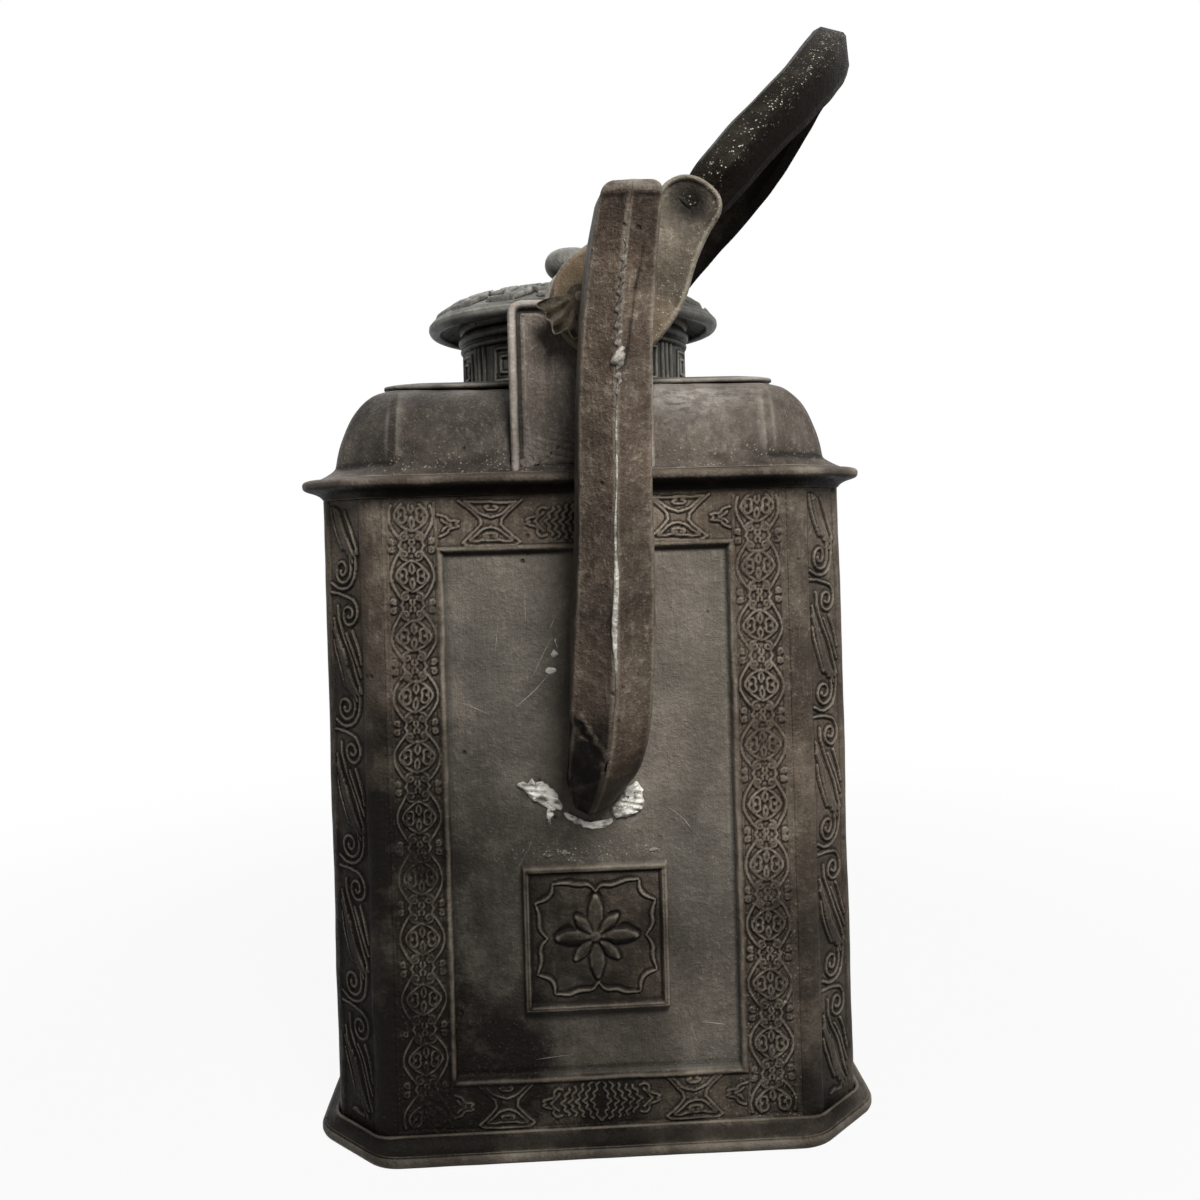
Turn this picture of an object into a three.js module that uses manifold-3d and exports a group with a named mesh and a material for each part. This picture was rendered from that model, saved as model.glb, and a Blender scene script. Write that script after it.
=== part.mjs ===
// Pewter wine warmer: a square canister with cut corners, a domed shoulder, a folded spout on its front,
// a swing handle on two ears, and a lift-out warming flask under a round lid.
// Millimetres, +Z up, spout towards -Y. The origin is the middle of the foot's flat underside.
import * as THREE from "three";
import { mergeVertices } from "three/addons/utils/BufferGeometryUtils.js";
import Module from "manifold-3d";

const wasm = await Module();
wasm.setup();

// Clearances
const seam = 0.3; // soldered joints and seats
const runningGap = 0.3; // pins in the handle's arms

// Body
const bodyWidth = 105;
const cornerDepth = 10; // how far each corner is cut back, in plan
const edgeRadius = 5; // the rounded edge between a face and a cut corner
const cornerLap = 1; // flat strip of a face that belongs to the corner piece
const wallTop = 127;
const wall = 1.8;

// Foot
const footHeight = 2.2; // the upright lip
const footFlare = 4;
const footCornerDepth = 14.4; // the lip is cut back further at its corners
const footCoveHeight = 2.6;
const footLip = 0.9;
const footLedge = 8;
const basePlateThickness = 2;

// Face panels
const borderProud = 1; // how far the ornament border stands out from the sunk field
const stripEdge = 1.1; // from the panel's edge in to its outer ornament strip
const stripWidth = 9.2;
const fieldMargin = 1.3; // from an ornament strip in to the sunk field
const bottomBand = 12.2; // from the panel's lower edge up to the sunk field
const topBand = 10.6;
const beadWidth = 1;
const beadProud = 0.5;
const beadInset = 0.2;
const bandMargin = 3.1; // from the panel's lower edge up to the lines of its strips
const lineWidth = 0.6;
const lineProud = 0.3;

// Plaques
const plaqueSize = 28.4;
const plaqueMiddle = 41.2;
const plaqueThickness = 0.8;
const plaqueFrameWidth = 1.5;
const plaqueFrameProud = 1;

// Shoulder
const rimHeight = 4.3;
const rimOverhang = 4.2;
const rimLip = 1.9;
const rimLedge = 5;
const domeHeight = 17.6;
const domeWall = 1.6;
const creaseInset = 5.1; // from the end of a flat side in to its upright crease
const creaseDepth = 0.5;
const topPlateInset = 12.3; // from the body's face back to the top plate's edge
const topPlateCorner = 12;
const topPlateEdge = 1;
const topPlateCrown = 1.5;
const topPlateLap = 5;

// Neck
const neckRadius = 26.5;
const neckBore = 23.3;
const neckHeight = 13.4;
const spigotRadius = 24.6;
const spigotDepth = 6;
const neckBeadProud = 1;
const neckBeadHeight = 3;

// Warming flask
const flaskClearance = 1;
const flaskWall = 1.2;
const flaskFloor = 1.2;
const flaskFloorGap = 10;
const flangeRadius = 27.3;
const flangeThickness = 2.7;

// Lid
const lidRadius = 34.3;
const lidRise = 7.6;
const lidThickness = 1.6;
const lidRimDrop = 2; // the widest part of the rim, below the seat
const lidRollWidth = 2.9;
const sleeveClearance = 0.6;
const sleeveWall = 1.1;
const sleeveDepth = 9;
const sleeveRise = 0.8; // above the lid's seat
const knobRadius = 6.4;
const knobHeight = 9.8;
const knobNeckRadius = 3.2;
const knobNeckHeight = 2.2;

// Ears
const earWidth = 28;
const earThickness = 3.6;
const earInset = 0.7; // from the face of the body back to the face of the ear
const earShoulderAbovePivot = 0.6;
const earCrestAbovePivot = 6.8;
const earCrestHalf = 5.6;
const earCornerRadius = 3;
const earBeadWidth = 1.8;
const earBeadProud = 0.8;

// Pivots
const pivotRise = 12.2; // from the top plate up to the handle's pivot
const pinRadius = 2;
const pinHeadRadius = 3.4;
const pinHeadHeight = 1.3;
const leafRadius = 8.8;
const leafNeckRadius = 4.4;
const leafThickness = 1.8;
const leafLobes = 4;
const leafHalfAngle = 36;
const lobeDepth = 0.9;

// Handle, drawn in its rest pose, leaning to the right
const handleLean = 42.7; // degrees from upright
const armThickness = 3;
const armLength = 32.7;
const handleReach = 90.4; // pivot to the middle of the grip
const handleSweep = 4.6; // how far the arms stand to the side of the top of the grip
const handleBow = 2; // the sideways bow of the grip between its ends and its top
const gripWidth = 12.8;
const gripThickness = 8.2;
const gripTaper = 0.18; // how much narrower the grip is at its ends

// Spout
const spoutRootRise = 62.3; // from the sunk field's lower edge up to the spout's root
const spoutHeight = 104; // from the root to the mouth
const spoutReach = 27.2; // how far the mouth stands out from the sunk field
const spoutHalfWidth = 8.1;
const spoutSway = 18.6; // sets how far the spout bends sideways
const spoutWall = 1.3;
const seamBeadWidth = 1.7;
const seamBeadHeight = 0.6;
const solderSpread = 2.6;

// Derived places
const bodyHalf = bodyWidth / 2;
const panelBottom = footHeight + seam;
const panelThickness = wall + borderProud;
const panelHalfWidth =
  bodyHalf - cornerDepth - edgeRadius * Math.tan(Math.PI / 8) - cornerLap;
const plainHalf = panelHalfWidth - seam / 2;
const stripOuter = plainHalf - stripEdge; // from the middle of a face
const stripInner = stripOuter - stripWidth;
const fieldWidth = 2 * (stripInner - fieldMargin);
const fieldBottom = panelBottom + bottomBand;
const fieldTop = wallTop - topBand;
const fieldFace = bodyHalf - borderProud;
const spoutRootHeight = fieldBottom + spoutRootRise;
const rimBottom = wallTop + seam;
const rimTop = rimBottom + rimHeight;
const domeBottom = rimTop + seam;
const domeTop = domeBottom + domeHeight;
const creaseHalf = bodyHalf - cornerDepth - creaseInset;
const topPlateBottom = domeTop + seam;
const topPlateTop = topPlateBottom + topPlateEdge + topPlateCrown;
const pivotHeight = topPlateTop + pivotRise;
const neckBottom = topPlateTop + seam;
const neckTop = neckBottom + neckHeight;
const flaskRadius = neckBore - flaskClearance;
const flangeTop = neckTop + seam + flangeThickness;
const lidSeat = flangeTop + seam;
const lidTop = lidSeat + lidRise;
const sleeveRadius = flaskRadius - flaskWall - sleeveClearance;
const earFace = bodyHalf - earInset;
const armInner = earFace + earBeadProud + runningGap;
const armOuter = armInner + armThickness;
const leafInner = armOuter + seam;
const leafOuter = leafInner + leafThickness;
const lean = THREE.MathUtils.degToRad(handleLean);

// Materials
const metal = (colour, roughness, metalness) =>
  new THREE.MeshStandardMaterial({ color: colour, roughness, metalness });
const pewter = metal(0x4b443d, 0.55, 0.75);
const darkPewter = metal(0x3a3833, 0.6, 0.7);
const bronze = metal(0x4a4335, 0.5, 0.8);
const solder = metal(0x8f8d88, 0.4, 0.9);
const part = new THREE.Group();

// Closed solids from geometry, and geometry from solids
function solidOf(geometry) {
  const bare = geometry.clone();
  bare.deleteAttribute("normal");
  bare.deleteAttribute("uv");
  const merged = mergeVertices(bare, 1e-4);
  const vertProperties = merged.attributes.position.array;
  const triVerts = new Uint32Array(merged.index.array);
  const made = new wasm.Manifold(new wasm.Mesh({ numProp: 3, vertProperties, triVerts }));
  if (made.volume() > 0) return made;
  for (let i = 0; i < triVerts.length; i += 3) {
    [triVerts[i + 1], triVerts[i + 2]] = [triVerts[i + 2], triVerts[i + 1]];
  }
  return new wasm.Manifold(new wasm.Mesh({ numProp: 3, vertProperties, triVerts }));
}

function geometryOf(solid) {
  const mesh = solid.getMesh();
  const geometry = new THREE.BufferGeometry();
  geometry.setAttribute("position", new THREE.BufferAttribute(mesh.vertProperties, 3));
  geometry.setIndex(new THREE.BufferAttribute(mesh.triVerts, 1));
  geometry.computeVertexNormals();
  return geometry;
}

function add(name, solid, material, turn = 0) {
  const mesh = new THREE.Mesh(geometryOf(solid), material.clone());
  mesh.name = name;
  mesh.rotation.z = turn;
  part.add(mesh);
}

// A box between two corners
function block(low, high) {
  const box = new THREE.BoxGeometry(high[0] - low[0], high[1] - low[1], high[2] - low[2]);
  box.translate((low[0] + high[0]) / 2, (low[1] + high[1]) / 2, (low[2] + high[2]) / 2);
  return solidOf(box);
}

// A skin through rings of points. Closed on itself it makes a frame, and otherwise its ends are capped.
function loft(rings, closed = false) {
  const count = rings[0].length;
  const places = rings.flat().flatMap((p) => [p.x, p.y, p.z]);
  const faces = [];
  const last = closed ? rings.length : rings.length - 1;
  for (let r = 0; r < last; r++) {
    const lower = r * count;
    const upper = ((r + 1) % rings.length) * count;
    for (let i = 0; i < count; i++) {
      const j = (i + 1) % count;
      faces.push(lower + i, lower + j, upper + j, lower + i, upper + j, upper + i);
    }
  }
  if (!closed) {
    const top = (rings.length - 1) * count;
    for (let i = 1; i < count - 1; i++) {
      faces.push(0, i + 1, i, top, top + i, top + i + 1);
    }
  }
  const geometry = new THREE.BufferGeometry();
  geometry.setAttribute("position", new THREE.Float32BufferAttribute(places, 3));
  geometry.setIndex(faces);
  return geometry;
}

// A round solid from its profile of [radius, height] points
function turned(profile, segments = 40) {
  const points = profile.map(([radius, height]) => new THREE.Vector2(radius, height));
  const geometry = new THREE.LatheGeometry(points, segments);
  geometry.rotateX(Math.PI / 2);
  return solidOf(geometry);
}

// The body's outline: a square with cut corners, whose eight edges are rounded or creased
function outline(half, corner, height, radius = edgeRadius, crease = 0) {
  const steps = 3;
  const flat = half - corner;
  const corners = [
    [flat, -half], [half, -flat], [half, flat], [flat, half],
    [-flat, half], [-half, flat], [-half, -flat], [-flat, -half],
  ];
  const points = [];
  corners.forEach(([x, y], i) => {
    const [px, py] = corners[(i + 7) % 8];
    const [nx, ny] = corners[(i + 1) % 8];
    const before = new THREE.Vector2(px - x, py - y).normalize();
    const after = new THREE.Vector2(nx - x, ny - y).normalize();
    const reach = radius * Math.tan(Math.PI / 8);
    const inward = new THREE.Vector2(-x, -y).normalize().multiplyScalar(crease);
    for (let s = 0; s <= steps; s++) {
      const t = s / steps;
      const bend = new THREE.Vector2()
        .addScaledVector(before, reach * (1 - t) ** 2)
        .addScaledVector(after, reach * t ** 2);
      const sink = s > 0 && s < steps ? 1 : 0;
      points.push(
        new THREE.Vector3(x + bend.x + inward.x * sink, y + bend.y + inward.y * sink, height),
      );
    }
  });
  return points;
}

// The outline moved out from the body's faces by an offset
const around = (offset, height, radius = edgeRadius, crease = 0, corner = cornerDepth) =>
  outline(
    bodyHalf + offset,
    corner + offset * (2 - Math.SQRT2),
    height,
    Math.max(radius + offset, 0.5),
    crease,
  );

// A frame that runs round the body, from a profile of [offset, height] points
const frameRound = (profile) =>
  solidOf(loft(profile.map(([offset, height]) => around(offset, height)), true));

// Foot and base
function footMoulding() {
  const steps = 4;
  const lipCorner = footCornerDepth - footFlare * (2 - Math.SQRT2);
  const rings = [
    around(-footLedge, 0),
    around(footFlare, 0, edgeRadius, 0, lipCorner),
  ];
  for (let s = 0; s <= steps; s++) {
    const turn = ((s / steps) * Math.PI) / 2;
    const offset = footLip + (footFlare - footLip) * (1 - Math.sin(turn));
    const height = footHeight + footCoveHeight * (1 - Math.cos(turn));
    const corner = cornerDepth + (lipCorner - cornerDepth) * (1 - s / steps);
    rings.push(around(offset, height, edgeRadius, 0, corner));
  }
  rings.push(around(seam, footHeight + footCoveHeight));
  rings.push(around(seam, footHeight));
  rings.push(around(-footLedge, footHeight));
  return solidOf(loft(rings, true));
}

function basePlate() {
  const offset = -footLedge - seam;
  return solidOf(loft([around(offset, 0), around(offset, basePlateThickness)]));
}

// Rectangular bars that frame an opening, standing out from a face at depth y
function barFrame(width, bottom, top, bar, face, proud) {
  const outer = block(
    [-width / 2 - bar, -face - proud, bottom - bar],
    [width / 2 + bar, -face, top + bar],
  );
  const inner = block(
    [-width / 2, -face - proud - 1, bottom],
    [width / 2, -face + 1, top],
  );
  return outer.subtract(inner);
}

// One face of the body: a border for the ornament, a sunk field and a bead round it
function facePanel(hole) {
  let panel = block(
    [-plainHalf, -bodyHalf, panelBottom],
    [plainHalf, -bodyHalf + panelThickness, wallTop],
  );
  panel = panel.subtract(
    block(
      [-fieldWidth / 2, -bodyHalf - 1, fieldBottom],
      [fieldWidth / 2, -fieldFace, fieldTop],
    ),
  );
  const bead = barFrame(
    fieldWidth + 2 * beadInset,
    fieldBottom - beadInset,
    fieldTop + beadInset,
    beadWidth,
    bodyHalf - 0.2,
    beadProud + 0.2,
  );
  panel = panel.add(bead);
  for (const x of [-stripOuter, -stripInner, stripInner, stripOuter]) {
    panel = panel.add(
      block(
        [x - lineWidth / 2, -bodyHalf - lineProud, panelBottom + bandMargin],
        [x + lineWidth / 2, -bodyHalf + 0.2, wallTop - 1],
      ),
    );
  }
  return hole ? panel.subtract(hole) : panel;
}

// A cut corner with its two rounded edges
function cornerPiece() {
  const ring = outline(bodyHalf, cornerDepth, 0);
  const inner = outline(
    bodyHalf - wall,
    cornerDepth - wall * (2 - Math.SQRT2),
    0,
    edgeRadius - wall,
  );
  const outside = ring.slice(0, 8);
  const inside = inner.slice(0, 8);
  const end = panelHalfWidth + seam / 2;
  const section = new THREE.Shape([
    new THREE.Vector2(end, -bodyHalf),
    ...outside.map((p) => new THREE.Vector2(p.x, p.y)),
    new THREE.Vector2(bodyHalf, -end),
    new THREE.Vector2(bodyHalf - wall, -end),
    ...inside.reverse().map((p) => new THREE.Vector2(p.x, p.y)),
    new THREE.Vector2(end, -bodyHalf + wall),
  ]);
  const geometry = new THREE.ExtrudeGeometry(section, {
    depth: wallTop - panelBottom,
    bevelEnabled: false,
  });
  geometry.translate(0, 0, panelBottom);
  return solidOf(geometry);
}

// A framed square plaque with a raised four-lobed flower
function plaque() {
  const half = plaqueSize / 2;
  const back = fieldFace + seam;
  const front = back + plaqueThickness;
  let made = block(
    [-half, -front, plaqueMiddle - half],
    [half, -back, plaqueMiddle + half],
  );
  made = made.add(
    barFrame(
      plaqueSize - 2 * plaqueFrameWidth,
      plaqueMiddle - half + plaqueFrameWidth,
      plaqueMiddle + half - plaqueFrameWidth,
      plaqueFrameWidth,
      front - 0.2,
      plaqueFrameProud + 0.2,
    ),
  );
  const lobe = plaqueSize * 0.13;
  for (let i = 0; i < 5; i++) {
    const petal = new THREE.CylinderGeometry(lobe * 0.8, lobe, 0.8, 12);
    const angle = (i * Math.PI) / 2;
    const out = i < 4 ? lobe * 1.35 : 0;
    petal.translate(out * Math.cos(angle), 0, plaqueMiddle + out * Math.sin(angle));
    petal.translate(0, -front - 0.2, 0);
    made = made.add(solidOf(petal));
  }
  return made;
}

// Shoulder
function shoulderRim() {
  return frameRound([
    [-rimLedge, rimBottom],
    [0.2, rimBottom],
    [1.4, rimBottom + 0.5],
    [rimOverhang - 0.5, rimTop - rimLip - 0.4],
    [rimOverhang, rimTop - rimLip + 0.2],
    [rimOverhang, rimTop - 0.7],
    [rimOverhang - 0.7, rimTop],
    [1.2, rimTop],
    [-rimLedge, rimTop],
  ]);
}

// The dome's profile, as [offset from the body's face, share of the dome's height]
const domeProfile = [
  [0.6, 0], [-0.6, 0.05], [-1.5, 0.13], [-2.1, 0.3], [-3, 0.47],
  [-4.7, 0.68], [-6.8, 0.84], [-9.3, 0.95], [-12.2, 1],
];

function domeRings(shrink) {
  return domeProfile.map(([offset, share]) => {
    const half = bodyHalf + offset - shrink;
    const blend = Math.min(share / 0.13, 1);
    const flat = creaseHalf + (bodyHalf - cornerDepth - creaseHalf) * (1 - blend);
    return outline(
      half,
      Math.max(half - flat, 2.4),
      domeBottom + share * domeHeight - shrink,
      share < 0.1 ? edgeRadius : 1.6,
      share > 0.1 && share < 0.9 ? creaseDepth : 0,
    );
  });
}

function shoulderDome() {
  const outer = solidOf(loft(domeRings(0)));
  const hollow = domeRings(domeWall);
  hollow[0] = around(-domeWall - 0.6, domeBottom - 3);
  const mouthOffset = -topPlateInset - topPlateLap;
  const mouth = loft([
    around(mouthOffset, domeTop - 5, topPlateCorner),
    around(mouthOffset, domeTop + 1, topPlateCorner),
  ]);
  return outer.subtract(solidOf(loft(hollow))).subtract(solidOf(mouth));
}

function shoulderTopPlate() {
  const edge = -topPlateInset;
  const rings = [
    [edge, 0],
    [edge, topPlateEdge * 0.6],
    [edge - 0.8, topPlateEdge],
    [edge - 6, topPlateEdge + topPlateCrown * 0.55],
    [edge - 12, topPlateEdge + topPlateCrown],
  ];
  const plate = solidOf(
    loft(
      rings.map(([offset, rise]) => around(offset, topPlateBottom + rise, topPlateCorner + 2)),
    ),
  );
  const hole = spigotRadius + seam;
  const cut = turned([
    [0, topPlateBottom - 2],
    [hole, topPlateBottom - 2],
    [hole, topPlateTop + 2],
    [0, topPlateTop + 2],
  ]);
  return plate.subtract(cut);
}

// The neck, with a rounded bead at its top and a spigot let into the shoulder
function neckCollar() {
  const beadMiddle = neckTop - neckBeadHeight / 2;
  const bead = [];
  const steps = 6;
  for (let s = 0; s <= steps; s++) {
    const turn = Math.PI * (s / steps - 0.5);
    bead.push([
      neckRadius + neckBeadProud * Math.cos(turn),
      beadMiddle + (neckBeadHeight / 2) * Math.sin(turn),
    ]);
  }
  return turned([
    [neckBore, neckBottom - spigotDepth],
    [spigotRadius, neckBottom - spigotDepth],
    [spigotRadius, neckBottom],
    [neckRadius, neckBottom],
    ...bead,
    [neckBore, neckTop],
    [neckBore, neckBottom - spigotDepth],
  ]);
}

// Warming flask
const flaskBottom = basePlateThickness + flaskFloorGap;

function flaskWallTube() {
  const inner = flaskRadius - flaskWall;
  const bottom = flaskBottom + flaskFloor + seam;
  const top = neckTop;
  return turned([
    [inner, bottom],
    [flaskRadius, bottom],
    [flaskRadius, top],
    [inner, top],
    [inner, bottom],
  ]);
}

const flaskBase = () =>
  turned([
    [0, flaskBottom],
    [flaskRadius, flaskBottom],
    [flaskRadius, flaskBottom + flaskFloor],
    [0, flaskBottom + flaskFloor],
  ]);

// The flask's rounded lip, which rests on the neck
function flaskFlange() {
  const inner = flaskRadius - flaskWall;
  const bottom = flangeTop - flangeThickness;
  const swell = 1;
  const lip = [];
  const steps = 5;
  for (let s = 0; s <= steps; s++) {
    const turn = Math.PI * (s / steps - 0.5);
    lip.push([
      flangeRadius - swell + swell * Math.cos(turn),
      (bottom + flangeTop) / 2 + (flangeThickness / 2) * Math.sin(turn),
    ]);
  }
  return turned([[inner, bottom], ...lip, [inner, flangeTop], [inner, bottom]]);
}

// Lid. Its curve is [share of the radius, share of the rise] from the rim's top to the middle.
const lidCurve = [
  [0.985, -0.08], [0.95, 0.08], [0.9, 0.22], [0.83, 0.42], [0.73, 0.56],
  [0.58, 0.7], [0.41, 0.84], [0.23, 0.95], [0, 1],
];

// The rolled edge under the rim, as shares of its width: [in from the edge, down]
const lidRoll = [
  [1, 0], [0.83, 0.34], [0.48, 0.45], [0.14, 0.31], [0, 0],
];

function lidShell() {
  const rim = lidSeat - lidRimDrop;
  const under = [
    [0, lidTop - lidThickness],
    [lidRadius * 0.3, lidTop - lidThickness * 1.4],
    [sleeveRadius - sleeveWall / 2, lidTop - lidThickness * 2.5],
    [sleeveRadius + seam, lidSeat],
    [flangeRadius + lidRollWidth / 3, lidSeat],
    ...lidRoll.map(([across, down]) => [
      lidRadius - lidRollWidth * across,
      rim - lidRollWidth * down,
    ]),
  ];
  const over = lidCurve.map(([radius, share]) => [
    lidRadius * radius,
    lidSeat + lidRise * share,
  ]);
  return turned([...under, ...over]);
}

const lidSleeve = () =>
  turned([
    [sleeveRadius - sleeveWall, lidSeat - sleeveDepth],
    [sleeveRadius, lidSeat - sleeveDepth],
    [sleeveRadius, lidSeat + sleeveRise],
    [sleeveRadius - sleeveWall, lidSeat + sleeveRise],
    [sleeveRadius - sleeveWall, lidSeat - sleeveDepth],
  ], 36);

// A bun on a short neck
function lidKnob() {
  const base = lidTop + seam;
  const half = (knobHeight - knobNeckHeight) / 2;
  const middle = base + knobNeckHeight + half;
  const profile = [
    [0, base],
    [knobNeckRadius + 0.6, base],
    [knobNeckRadius, base + 0.8],
    [knobNeckRadius, base + knobNeckHeight],
  ];
  const steps = 8;
  for (let s = 1; s < steps; s++) {
    const turn = (s / steps) * Math.PI;
    const bulge = knobRadius * Math.sin(turn) ** 0.6;
    if (bulge > knobNeckRadius || s > steps / 2) {
      profile.push([bulge, middle - half * Math.cos(turn)]);
    }
  }
  profile.push([0, base + knobHeight]);
  return turned(profile, 24);
}

// Ears: the front one stands at -Y. Its outline is drawn in x and height, inset by the bead if asked.
function earOutline(inset = 0) {
  const half = earWidth / 2 - inset;
  const crest = earCrestHalf - inset;
  const shoulder = pivotHeight + earShoulderAbovePivot - inset;
  const top = pivotHeight + earCrestAbovePivot - inset;
  const foot = rimTop - 1;
  const shape = new THREE.Shape();
  shape.moveTo(-half, foot);
  shape.lineTo(half, foot);
  shape.lineTo(half, shoulder - earCornerRadius);
  shape.quadraticCurveTo(half, shoulder, half - earCornerRadius, shoulder);
  shape.lineTo(crest + 1, shoulder);
  shape.quadraticCurveTo(crest, top, 0, top);
  shape.quadraticCurveTo(-crest, top, -crest - 1, shoulder);
  shape.lineTo(-half + earCornerRadius, shoulder);
  shape.quadraticCurveTo(-half, shoulder, -half, shoulder - earCornerRadius);
  return shape;
}

// Stands a flat outline up in the XZ plane, between two depths
function upright(shape, near, far, segments = 4) {
  const geometry = new THREE.ExtrudeGeometry(shape, {
    depth: far - near,
    bevelEnabled: false,
    curveSegments: segments,
  });
  geometry.rotateX(Math.PI / 2);
  geometry.translate(0, -near, 0);
  return solidOf(geometry);
}

function pinHole(radius, near, far) {
  const hole = new THREE.CylinderGeometry(radius, radius, far - near, 24);
  hole.translate(0, -(near + far) / 2, pivotHeight);
  return solidOf(hole);
}

function ear() {
  const back = earFace - earThickness;
  const plate = upright(earOutline(), back, earFace);
  const beadOuter = upright(earOutline(), earFace - 0.2, earFace + earBeadProud);
  const beadInner = upright(earOutline(earBeadWidth), earFace - 1, earFace + 2);
  const crestClear = block(
    [-earCrestHalf - 1, -earFace - 2, rimTop - 2],
    [earCrestHalf + 1, -earFace, pivotHeight + 20],
  );
  const bead = beadOuter.subtract(beadInner).subtract(crestClear);
  const footing = block([-80, -80, 0], [80, 80, domeBottom + seam]);
  return plate
    .add(bead)
    .subtract(pinHole(pinRadius + runningGap, 30, 70))
    .subtract(solidOf(loft(domeRings(-seam))))
    .subtract(footing);
}

function pivotPin() {
  const inner = earFace - earThickness - seam;
  const outer = leafOuter + seam;
  const made = turned([
    [0, -inner + pinHeadHeight],
    [pinHeadRadius, -inner + pinHeadHeight],
    [pinHeadRadius, -inner],
    [pinRadius, -inner],
    [pinRadius, -outer],
    [pinHeadRadius * 0.9, -outer],
    [pinHeadRadius * 0.75, -outer - pinHeadHeight * 0.7],
    [0, -outer - pinHeadHeight],
  ], 20);
  return made.rotate([-90, 0, 0]).translate([0, 0, pivotHeight]);
}

// The lobed leaf at the tail of an arm, pointing away from the grip
function tailLeaf() {
  const shape = new THREE.Shape();
  const steps = 48;
  const half = THREE.MathUtils.degToRad(leafHalfAngle);
  for (let s = 0; s < steps; s++) {
    const turn = (s / steps - 0.5) * 2 * Math.PI;
    const away = Math.abs(turn);
    const fade = THREE.MathUtils.clamp((half * 1.7 - away) / (half * 0.7), 0, 1);
    const lobes = Math.abs(Math.cos((turn / half) * (leafLobes / 2) * Math.PI));
    const reach = leafRadius - lobeDepth * lobes;
    const radius = leafNeckRadius + (reach - leafNeckRadius) * fade;
    const angle = turn - Math.PI / 2 - lean;
    const point = [radius * Math.cos(angle), pivotHeight + radius * Math.sin(angle)];
    if (s === 0) shape.moveTo(...point);
    else shape.lineTo(...point);
  }
  shape.closePath();
  return upright(shape, leafInner, leafOuter).subtract(pinHole(pinRadius + seam, 30, 70));
}

// Handle. Its arms are broad comma shapes. Their outline at rest is drawn from the pivot, in shares of
// the arm's length: [x, height] is a straight run, and two such pairs are a bend and where it ends.
const armRuns = [
  [-0.162, 0],
  [-0.171, 0.171, 0.021, 0.297],
  [0.523, 0.654],
  [0.654, 0.752],
  [0.936, 0.489],
  [0.722, 0.287, 0.661, 0.08],
  [0.612, -0.104, 0.437, -0.278],
  [0.287, -0.404, 0.092, -0.349],
  [-0.165, -0.263, -0.162, 0],
];

function armOutline() {
  const shape = new THREE.Shape();
  armRuns.forEach((run, i) => {
    const places = run.map((share) => share * armLength);
    if (i === 0) shape.moveTo(...places);
    else if (places.length === 2) shape.lineTo(...places);
    else shape.quadraticCurveTo(...places);
  });
  return shape;
}

function handleArm() {
  const made = upright(armOutline(), armInner, armOuter, 5).translate([0, 0, pivotHeight]);
  return made.subtract(pinHole(pinRadius + runningGap, 30, 70));
}

// The grip's section, as shares of its width across and its thickness outward
const gripSection = [
  [-0.5, 0.02], [-0.45, 0.2], [-0.06, 0.48], [0.02, 0.46], [0.42, -0.05],
  [0.5, -0.27], [0.31, -0.52], [-0.32, -0.52], [-0.5, -0.25],
];

function handleGrip() {
  const steps = 18;
  const middle = (armInner + armOuter) / 2;
  const rise = handleReach - armLength;
  const rings = [];
  for (let s = 0; s <= steps; s++) {
    const turn = (s / steps) * Math.PI;
    const along = armLength + 0.6 + (rise - 0.6) * Math.sin(turn);
    const outward = new THREE.Vector2(-Math.cos(turn) * rise, Math.sin(turn) * middle).normalize();
    const width = gripWidth * (1 - gripTaper * (1 - Math.sin(turn)));
    const sweep =
      0.8 + handleSweep * (1 - Math.sin(turn)) + handleBow * Math.sin(2 * turn) ** 2;
    rings.push(
      gripSection.map(([across, out]) => {
        const u = across * width + sweep;
        const w = out * gripThickness;
        const r = along + w * outward.y;
        return new THREE.Vector3(
          r * Math.sin(lean) + u * Math.cos(lean),
          -middle * Math.cos(turn) + w * outward.x,
          pivotHeight + r * Math.cos(lean) - u * Math.sin(lean),
        );
      }),
    );
  }
  return solidOf(loft(rings));
}

// Spout: stations up its length, from the root. Each has the place of its back and of its front ridge,
// as shares of the reach and of the height, then its half width at the back and where the front folds.
const spoutShares = [
  [-0.088, 0.062, -0.088, -0.077, 0.889, 0.765],
  [0, 0.067, 0, -0.085, 0.926, 0.827],
  [0.11, 0.101, 0.331, -0.05, 0.975, 0.901],
  [0.176, 0.154, 0.588, 0.015, 1, 0.951],
  [0.199, 0.26, 0.662, 0.144, 1, 0.951],
  [0.235, 0.462, 0.691, 0.394, 0.914, 0.877],
  [0.324, 0.692, 0.772, 0.654, 0.877, 0.827],
  [0.463, 0.875, 0.904, 0.861, 0.84, 0.753],
  [0.588, 0.994, 1, 1, 0.753, 0.679],
];
const spoutStations = spoutShares.map(([backOut, backUp, frontOut, frontUp, wide, narrow]) => ({
  back: [backOut * spoutReach, backUp * spoutHeight],
  front: [frontOut * spoutReach, frontUp * spoutHeight],
  wide: wide * spoutHalfWidth,
  narrow: narrow * spoutHalfWidth,
}));
const ridgeShare = 0.78; // how far forward the side faces reach before the front folds to its ridge

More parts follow.
